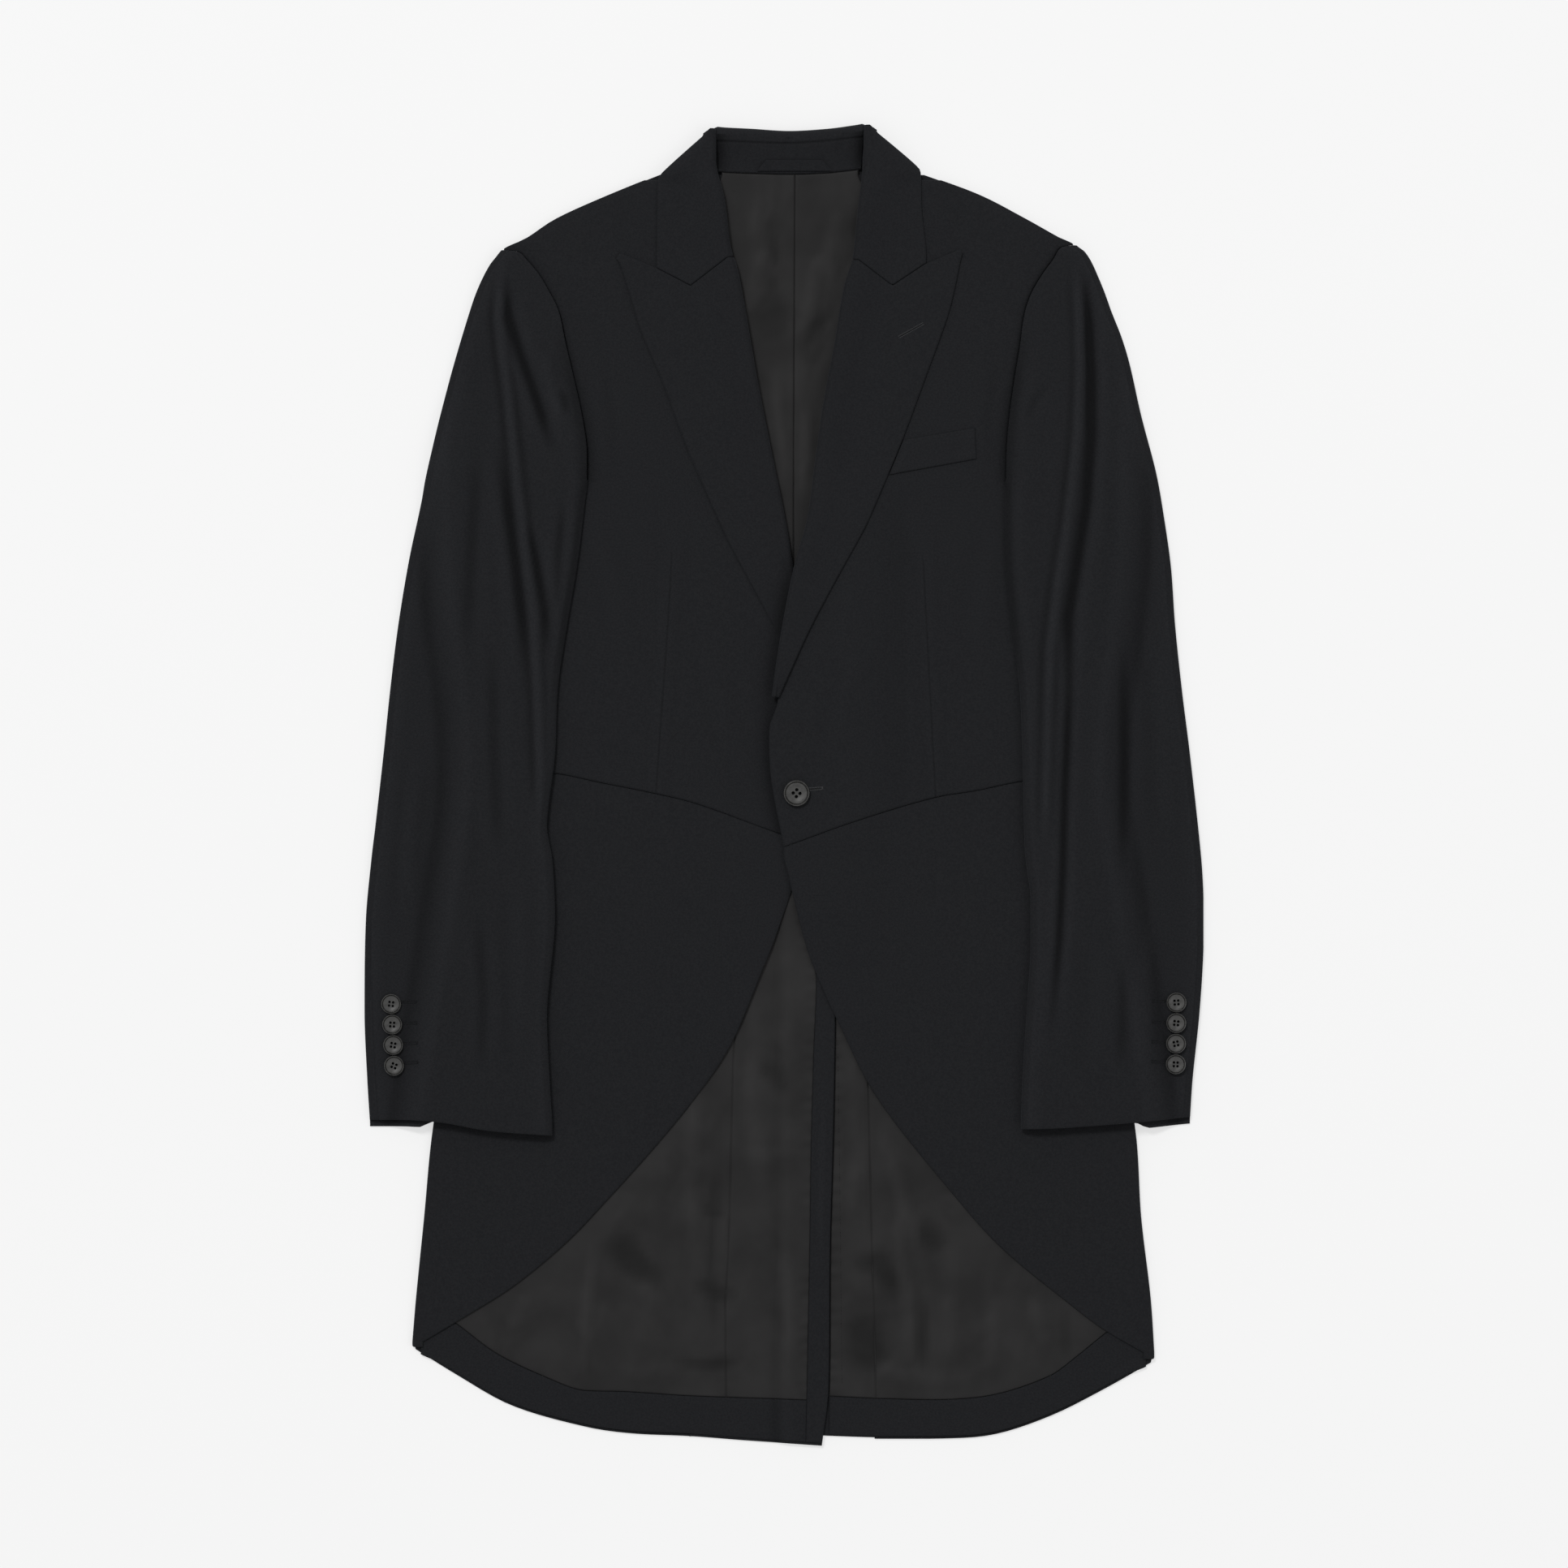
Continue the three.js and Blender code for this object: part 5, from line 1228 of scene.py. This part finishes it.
# Height, width, fade and line of each fold of the top sleeves.
SLEEVE_FOLDS = {
    "left": [
        (1.9, 3.4, 0.12, [(-206, 392), (-210, 372), (-210.5, 343), (-208, 316), (-204, 289), (-200.5, 255),
                          (-196, 213), (-190, 166), (-185, 123), (-182, 69), (-180, 16), (-177, -44)]),
        (-2.8, 5.6, 0.3, [(-205, 376), (-203, 345), (-195, 318), (-186, 292), (-176, 262), (-168, 238)]),
        (-2.5, 5.8, 0.35, [(-212, 262), (-206, 215), (-199, 165), (-194, 120), (-191, 70)]),
        (-2.1, 5.2, 0.35, [(-194, 205), (-184, 168), (-176, 130), (-172, 84)]),
        (-0.9, 4.0, 0.4, [(-168, 292), (-162, 284), (-160, 270)]),
        (1.3, 6, 0.3, [(-180, 325), (-172, 290), (-162, 258)]),
        (-1.3, 5, 0.3, [(-162, 215), (-166, 170), (-168, 110)]),
        (1.4, 13, 0.3, [(-232, 330), (-244, 240), (-250, 150), (-256, 40)]),
        (-1.2, 7, 0.3, [(-226, 250), (-231, 170), (-234, 90)]),
        (1.0, 12, 0.3, [(-238, 60), (-244, -60), (-246, -180)]),
        (-1.3, 7, 0.3, [(-216, 110), (-214, 20), (-210, -60)]),
        (1.1, 9, 0.3, [(-196, -60), (-196, -140), (-194, -220)]),
        (0.9, 7, 0.3, [(-270, 30), (-278, -40), (-280, -110)]),
        (-1.0, 6, 0.3, [(-226, -90), (-222, -160), (-224, -220)]),
    ],
    "right": [
        (1.7, 3.4, 0.12, [(212, 394), (216, 376), (218.5, 340), (219, 306), (217, 263), (213.5, 230),
                          (209.5, 196),
                          (202.5, 150), (196, 100), (194, 30), (192, -60)]),
        (-3.2, 6.2, 0.2, [(221, 388), (224.5, 350), (227, 300), (227, 256), (223, 205), (216, 160),
                          (210, 122),
                           (208, 60)]),
        (-2.0, 4.4, 0.3, [(212, 130), (211, 90), (209, 37), (207, -7), (205.5, -67), (203, -115), (199, -161),
                          (194, -205)]),
        (-0.6, 4.4, 0.4, [(176, 262), (186, 286), (198, 300)]),
        (1.2, 12, 0.3, [(246, 330), (252, 240), (258, 150)]),
        (-1.4, 6, 0.3, [(249.9, 120), (251, 20), (249, -84)]),
        (1.2, 11, 0.3, [(230, 110), (230, 20), (228, -80)]),
        (1.1, 9, 0.3, [(272, 130), (280, 40), (284, -60)]),
        (1.0, 10, 0.3, [(236, -110), (232, -170), (230, -224)]),
        (0.9, 8, 0.3, [(268, -90), (266, -160), (264, -220)]),
        (-1.0, 6, 0.3, [(252, -120), (250, -170), (248, -216)]),
    ],
}
# How far the seam along the back of the arm lies inside the sleeve's outer edge.
ARM_SEAM = {
    "left": [(396, 4), (-60, 4), (-117, 4.5), (-169, 6), (-256, 6.5)],
    "right": [(396, 4), (-40, 4), (-83, 4), (-154, 4.5), (-256, 5)],
}
sleeve_top = {}


def make_sleeve(side):
    s = SIGN[side]
    outer, free, ridge = (track(SLEEVES[side], column) for column in (1, 2, 3))
    cuff, arm_seam = track(CUFF[side]), track(ARM_SEAM[side])
    inner = (lambda y: np.where(y >= ARMHOLE_END, shoulder_x[side](y + GAP) + s * SEAM, free(y)))
    seam = (lambda y: outer(y) - s * arm_seam(y))
    cuff_under = (lambda x: cuff(x) - 5 * smooth((np.abs(x) - 258) / 12))
    down = levels(SLEEVE_TOP[side], CUFF_LEVEL, 5, [(228, 196, 1.4)])
    grid = plan_grid(down, columns([outer, inner], [30]), cuff_under, 60)
    panel(f"under_sleeve_{side}", grid, lambda x, y: body_under(side, x, y), SLEEVE, "wool")
    soft = folds(SLEEVE_FOLDS[side])

    def under(x, y):
        away = np.abs(outer(y)) - np.abs(x)
        wide = np.abs(outer(y)) - np.abs(inner(y))
        inner_share = mix(1, rounding((wide - away) / SLEEVE_ROUND), smooth((ARMHOLE_END + 16 - y) / 30))
        plump = rounding(away / SLEEVE_ROUND) * inner_share
        crest = SLEEVE_CREST * bell(away - wide * ridge(y), 16) * inner_share
        share = smooth(away / 9) * smooth((wide - away) / 9)
        seat = SLEEVE_SEAT * bell(wide - away, 6.5) * smooth((345 - y) / 60) * smooth((y - 60) / 80)
        lift = np.maximum(SLEEVE_HOLLOW * plump + crest + soft(x, y) * share - seat, 0)
        return body_under(side, x, y) + SLEEVE + GAP + lift

    def relief(x, y):
        # The seam shows only near the cuff.
        shown = smooth((-96 - y) / 20)
        return -SEAM_DEPTH * bell(x - seam(y), 0.6) * shown

    def shade(x, y):
        # Painted shade in the valley beside the sleeve's inner edge, along the armhole.
        away = np.abs(x) - np.abs(inner(y))
        return 1 - 0.34 * bell(away, 7) * smooth((350 - y) / 60) * smooth((y - 40) / 90)

    down = levels(SLEEVE_TOP[side], CUFF_LEVEL, 3.6, [(SLEEVE_TOP[side], 376, 1.5), (228, 196, 1.2)])
    grid = plan_grid(down, columns([outer, seam, inner], [8, 64]), cuff, 60)
    panel(f"top_sleeve_{side}", grid, under, SLEEVE, "wool",
          relief, roll=(0.5, 3.0), rim=(0.7, 0.4), shade=shade)
    sleeve_top[side] = (lambda x, y: under(x, y) + SLEEVE)


for side in SIDES:
    make_sleeve(side)

# The buttons: a turned disc with a raised rim, a groove inside it and four holes.
BUTTON_PROFILE = [
    (0, 0), (0.66, 0), (0.8, 0.07), (0.93, 0.28), (0.985, 0.5), (1, 0.66), (0.99, 0.82), (0.96, 0.95),
    (0.925, 1), (0.9, 0.94), (0.88, 0.7), (0.85, 0.62), (0.82, 0.7), (0.79, 0.86), (0.74, 0.87),
    (0.6, 0.83), (0.42, 0.74), (0.3, 0.71), (0, 0.71),
]
# The place and size of the holes are shares of the button's radius.
HOLE_PLACE = 0.26
HOLE_SIZE = 0.13
ROUND_STEPS = 64
HOLE_STEPS = 20
SHARP_ANGLE = 38


def lathe_mesh(name, profile, steps):
    """A turned body, from rows of radius and height that begin and end on its axis."""
    points = [(0, 0, profile[0][1])]
    for radius, height in profile[1:-1]:
        for k in range(steps):
            a = 2 * math.pi * k / steps
            points.append((radius * math.cos(a), radius * math.sin(a), height))
    points.append((0, 0, profile[-1][1]))
    faces = [(0, 1 + (k + 1) % steps, 1 + k) for k in range(steps)]
    for ring in range(len(profile) - 3):
        a = 1 + ring * steps
        for k in range(steps):
            faces.append((a + k, a + (k + 1) % steps, a + steps + (k + 1) % steps, a + steps + k))
    a = 1 + (len(profile) - 3) * steps
    faces += [(a + k, a + (k + 1) % steps, len(points) - 1) for k in range(steps)]
    mesh = bpy.data.meshes.new(name)
    mesh.from_pydata(points, [], faces)
    mesh.update()
    return mesh


def button(node, radius, turn):
    """A button in the place of its solid, turned by an angle in degrees."""
    low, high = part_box(node)
    thick = high.z - low.z
    profile = [(r * radius * MM, h * thick) for r, h in BUTTON_PROFILE]
    disc = bpy.data.objects.new(f"{node}_horn", lathe_mesh(node, profile, ROUND_STEPS))
    bpy.context.scene.collection.objects.link(disc)
    cutters = []
    for k in range(4):
        a = math.radians(turn + 45 + 90 * k)
        size = radius * HOLE_SIZE * MM
        through = [(0, -thick), (size, -thick), (size, thick * 2), (0, thick * 2)]
        hole = lathe_mesh("hole", through, HOLE_STEPS)
        cutter = bpy.data.objects.new("hole", hole)
        reach = radius * HOLE_PLACE * MM
        cutter.location = (reach * math.cos(a), reach * math.sin(a), 0)
        bpy.context.scene.collection.objects.link(cutter)
        cut = disc.modifiers.new("cut", "BOOLEAN")
        cut.operation, cut.solver, cut.object = "DIFFERENCE", "EXACT", cutter
        cutters.append(cutter)
    bpy.context.view_layer.update()
    shaped = bpy.data.meshes.new_from_object(disc.evaluated_get(bpy.context.evaluated_depsgraph_get()))
    disc.modifiers.clear()
    disc.data = shaped
    for cutter in cutters:
        bpy.data.objects.remove(cutter)
    shaped.materials.clear()
    shaped.materials.append(FINISH["button"])
    shaped.polygons.foreach_set("use_smooth", [True] * len(shaped.polygons))
    shaped.set_sharp_from_angle(angle=math.radians(SHARP_ANGLE))
    disc.location = ((low.x + high.x) / 2, (low.y + high.y) / 2, low.z)
    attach(disc, "root")
    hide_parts(node)


FRONT_RADIUS = 9.65
CUFF_RADIUS = 7.4
button("button_front", FRONT_RADIUS, 41)
CUFF_TURNS = {"left": (-7, -3, -10, -21), "right": (4, -6, 12, -2)}


def make_cuff_buttons(side):
    for number, turn in enumerate(CUFF_TURNS[side]):
        button(f"button_cuff_{side}_{number + 1}", CUFF_RADIUS, turn)


for side in SIDES:
    make_cuff_buttons(side)

# Sewing. Each stitch is a small rounded bar, made as one mesh for each place.
BAR = [(-1, 0, 0), (-0.7, -1, 0), (-0.7, 0, 1), (-0.7, 1, 0), (0.7, -1, 0), (0.7, 0, 1), (0.7, 1, 0),
       (1, 0, 0)]
BAR_FACES = [(0, 1, 2), (0, 2, 3), (1, 4, 5, 2), (2, 5, 6, 3), (4, 7, 5), (5, 7, 6), (0, 3, 1),
             (1, 3, 6, 4), (4, 6, 7)]


def bars(name, places, finish):
    """places has a row for each stitch: x, y, z, angle, half its length, half its width, its height."""
    points, faces = [], []
    for x, y, z, angle, long, wide, high in places:
        c, s = math.cos(angle), math.sin(angle)
        start = len(points)
        for u, v, w in BAR:
            u, v = u * long, v * wide
            points.append((x + u * c - v * s, y + u * s + v * c, z + w * high))
        faces += [tuple(start + i for i in face) for face in BAR_FACES]
    make_mesh(name, points, faces, finish)


def sewn_line(line, surface, pitch=4.0, half=0.75, wide=0.22, high=0.16):
    """Stitches along a line of plan points, on a surface, at a pitch from one to the next."""
    line = np.array(line, float)
    run = run_along(line)
    places = []
    for at in np.arange(pitch, run[-1] - pitch, pitch):
        x, y = np.interp(at, run, line[:, 0]), np.interp(at, run, line[:, 1])
        ahead = np.interp(at + 0.5, run, line[:, 0]), np.interp(at + 0.5, run, line[:, 1])
        angle = math.atan2(ahead[1] - y, ahead[0] - x)
        places.append((x, y, float(surface(x, y)) - 0.05, angle, half, wide, high))
    return places


def run_of(start, end):
    """Start, length, direction and crosswise direction of a buttonhole."""
    start, end = np.array(start, float), np.array(end, float)
    size = np.linalg.norm(end - start)
    way = (end - start) / size
    return start, size, way, np.array([-way[1], way[0]])


STITCH_SINK = 0.1


def bar_at(p, surface, way, long, wide, high):
    """One stitch at a plan point, sunk a little into a surface."""
    return (p[0], p[1], float(surface(*p)) - STITCH_SINK, math.atan2(way[1], way[0]), long, wide, high)


def worked_hole(start, end, surface):
    """The purl stitches on both sides of a buttonhole, and the bar at its end."""
    start, size, way, across = run_of(start, end)
    places = []
    for at in np.arange(0, size, 0.62):
        for lip in (-0.85, 0.85):
            places.append(bar_at(start + way * at + across * lip, surface, across, 0.62, 0.28, 0.42))
    for shift in (0, 0.35, 0.7):
        places.append(bar_at(end + way * shift, surface, across, 1.5, 0.24, 0.5))
    return places


def corded_hole(start, end, surface):
    """Two cords of thread side by side, as on an uncut buttonhole."""
    start, size, way, across = run_of(start, end)
    places = []
    for at in np.arange(0, size, 0.8):
        for lip in (-0.75, 0.75):
            places.append(bar_at(start + way * at + across * lip, surface, way, 0.7, 0.3, 0.42))
    return places


def slit_shade(start, end, surface):
    """A dark bar that paints the shade in the opening between a buttonhole's two lips."""
    start, size, way, _ = run_of(start, end)
    return bar_at(start + way * size / 2, surface, way, size / 2, 0.5, 0.5)


def lapel_top(side, x, y):
    """The height of a lapel's upper face."""
    rise = track(LAPEL_ROLL, COLUMN[side])(y)
    crest = crest_of(side, y, rise)
    return on_front(side, x, y) + rise * bell(x - crest, ROLL_SOFT) + LAPEL / 2


# How far the stitches lie inside the lapel's edge, and the levels that they reach.
EDGE_STITCH = 2.6
STITCHED_LOW, STITCHED_TOP = 80, 380


def make_lapel_stitches(side):
    s = SIGN[side]
    edge, gorge = track(LAPEL_EDGE[side]), straight(GORGE[side])
    top = (lambda x, y: lapel_top(side, x, y))
    line = [(edge(y) - s * EDGE_STITCH * 1.15, y) for y in np.arange(STITCHED_LOW, STITCHED_TOP, 6.0)]
    at_peak, at_notch = (1, 3) if side == "left" else (-2, 1)
    x_out, x_notch = GORGE[side][at_peak][0], GORGE[side][at_notch][0]
    line += [(x, gorge(x) - EDGE_STITCH * 1.25) for x in np.linspace(x_out, x_notch + s * 4, 12)]
    bars(f"lapel_stitches_{side}", sewn_line(line, top), "edge_thread")


for side in SIDES:
    make_lapel_stitches(side)

# A sewn tuck in the lining beside the vent.
TUCK = [(39.6, -190), (41.2, -290), (42.9, -445)]
tuck_folds = folds(TAIL_FOLDS["right"])
tuck_top = (lambda x, y: LINING_UNDER + LINING + np.maximum(-0.5, tuck_folds(x, y)))
bars("tuck_stitches_right", sewn_line(TUCK, tuck_top, 2.4, 0.7, 0.14, 0.2), "dark_thread_and_slit_shade")

front_top = (lambda x, y: front_lift("right", x, y) + FRONT)
hole_top = (lambda x, y: lapel_top("right", x, y))
LAPEL_HOLE = ((85, 330), (103, 340))
FRONT_HOLE = ((9, -4.6), (28, -3.2))
bars("buttonhole_lapel", corded_hole(*LAPEL_HOLE, hole_top), "thread")
# Dark bars paint the shade in the opening of each buttonhole.
bars("buttonhole_lapel_slit_shade", [slit_shade(*LAPEL_HOLE, hole_top)], "dark_thread_and_slit_shade")
bars("buttonhole_front", worked_hole(*FRONT_HOLE, front_top), "thread")
bars("buttonhole_front_slit_shade", [slit_shade(*FRONT_HOLE, front_top)], "dark_thread_and_slit_shade")
CUFF_HOLES = {
    "left": [((-290, -160.8), (-272, -160.8)), ((-289, -176.4), (-271.5, -176.4)),
             ((-288.5, -191.6), (-271, -191.2)), ((-288, -206.5), (-270.6, -205.4))],
    "right": [((289.5, -160.2), (272.5, -160.2)), ((289.3, -175.8), (272.3, -175.6)),
              ((289.2, -190.6), (272, -190.2)), ((289, -205.6), (272, -204.8))],
}


def make_cuff_holes(side):
    # Each slit bar paints the shade in its buttonhole's opening.
    places, slit_shades = [], []
    for start, end in CUFF_HOLES[side]:
        places += worked_hole(start, end, sleeve_top[side])
        slit_shades.append(slit_shade(start, end, sleeve_top[side]))
    bars(f"buttonholes_cuff_{side}", places, "edge_thread")
    bars(f"buttonholes_cuff_{side}_slits", slit_shades, "dark_thread_and_slit_shade")


for side in SIDES:
    make_cuff_holes(side)

# The pale ground and the light.
ground_data = bpy.data.meshes.new("ground")
REACH = 8.0
# Its middle, under the coat, does not glow, so that no light comes up through the seams.
UNDER_COAT = [(0.195, -0.42, 0.385), (0.08, 0.385, 0.455)]
grid_x, grid_y = (-REACH, -0.195, -0.08, 0.08, 0.195, REACH), (-REACH, -0.42, 0.385, 0.455, REACH)
ground_data.from_pydata([(x, y, 0) for y in grid_y for x in grid_x], [],
                        [(i + j, i + j + 1, i + j + 7, i + j + 6) for j in (0, 6, 12, 18) for i in range(5)])
ground = bpy.data.objects.new("ground", ground_data)
ground.location.z = -0.0005
bpy.context.scene.collection.objects.link(ground)
GROUND_TONE = (0.3, 0.3, 0.3)
GROUND_GLOW = 0.6
SKY_STRENGTH = 0.55
_, pale_shader = material("pale_ground", GROUND_TONE, 0.9, 0.0)
pale_shader.inputs["Emission Color"].default_value = (1, 1, 1, 1)
pale_shader.inputs["Emission Strength"].default_value = GROUND_GLOW
material("shaded_ground", GROUND_TONE, 0.9, 0.0)
ground_data.materials.append(FINISH["pale_ground"])
ground_data.materials.append(FINISH["shaded_ground"])
for face in ground_data.polygons:
    face.material_index = int(any(abs(face.center.x) < wide and low < face.center.y < high
                                  for wide, low, high in UNDER_COAT))

world = bpy.data.worlds.new("world")
world.use_nodes = True
world.node_tree.nodes["Background"].inputs["Color"].default_value = (1, 1, 1, 1)
world.node_tree.nodes["Background"].inputs["Strength"].default_value = SKY_STRENGTH
bpy.context.scene.world = world


def lamp(name, energy, size, place):
    data = bpy.data.lights.new(name, "AREA")
    data.energy, data.size = energy, size
    made = bpy.data.objects.new(name, data)
    made.location = place
    made.rotation_mode = "QUATERNION"
    made.rotation_quaternion = (-Vector(place)).to_track_quat("-Z", "Y")
    bpy.context.scene.collection.objects.link(made)


lamp("key", 560.0, 2.2, (-2.6, 5.0, 8.5))
lamp("fill", 66.0, 4.0, (4.8, -1.2, 6.0))

# How each kind of sheet is held and what it lies on. A name with no side means the same side's.
RESTS = [
    ("back", "laid", ["ground"]),
    ("side_body", "laid", ["ground"]),
    ("forepart", "laid", ["lining_back", "side_body"]),
    ("skirt", "folded", ["ground", "lining_tail"]),
    ("lining_back", "laid", ["back"]),
    ("vent_facing", "laid", ["back_left"]),
    ("lining_tail", "laid", ["back"]),
    ("hem_facing", "laid", ["back"]),
    ("lapel", "folded", ["forepart"]),
    ("collar_leaf", "folded", ["forepart"]),
    ("collar_back", "folded", ["ground", "back_left", "back_right"]),
    ("hanger_loop", "laid", ["collar_back"]),
    ("chest_welt", "laid", ["forepart_right"]),
    ("under_sleeve", "laid", ["ground", "side_body", "forepart"]),
    ("top_sleeve", "laid", ["under_sleeve"]),
]
SHEET_LEAST = 0.02
SHEET_FILL = 0.3


def lay_sheet(node):
    piece, width, length, area = CLOTH[node]
    width, length = max(width, SHEET_LEAST), max(length, SHEET_LEAST)
    area = min(max(area, SHEET_FILL * width * length), width * length)


for kind, held, below in RESTS:
    if kind in CLOTH:
        lay_sheet(kind)
        continue
    for side in SIDES:
        node = f"{kind}_{side}"
        lay_sheet(node)
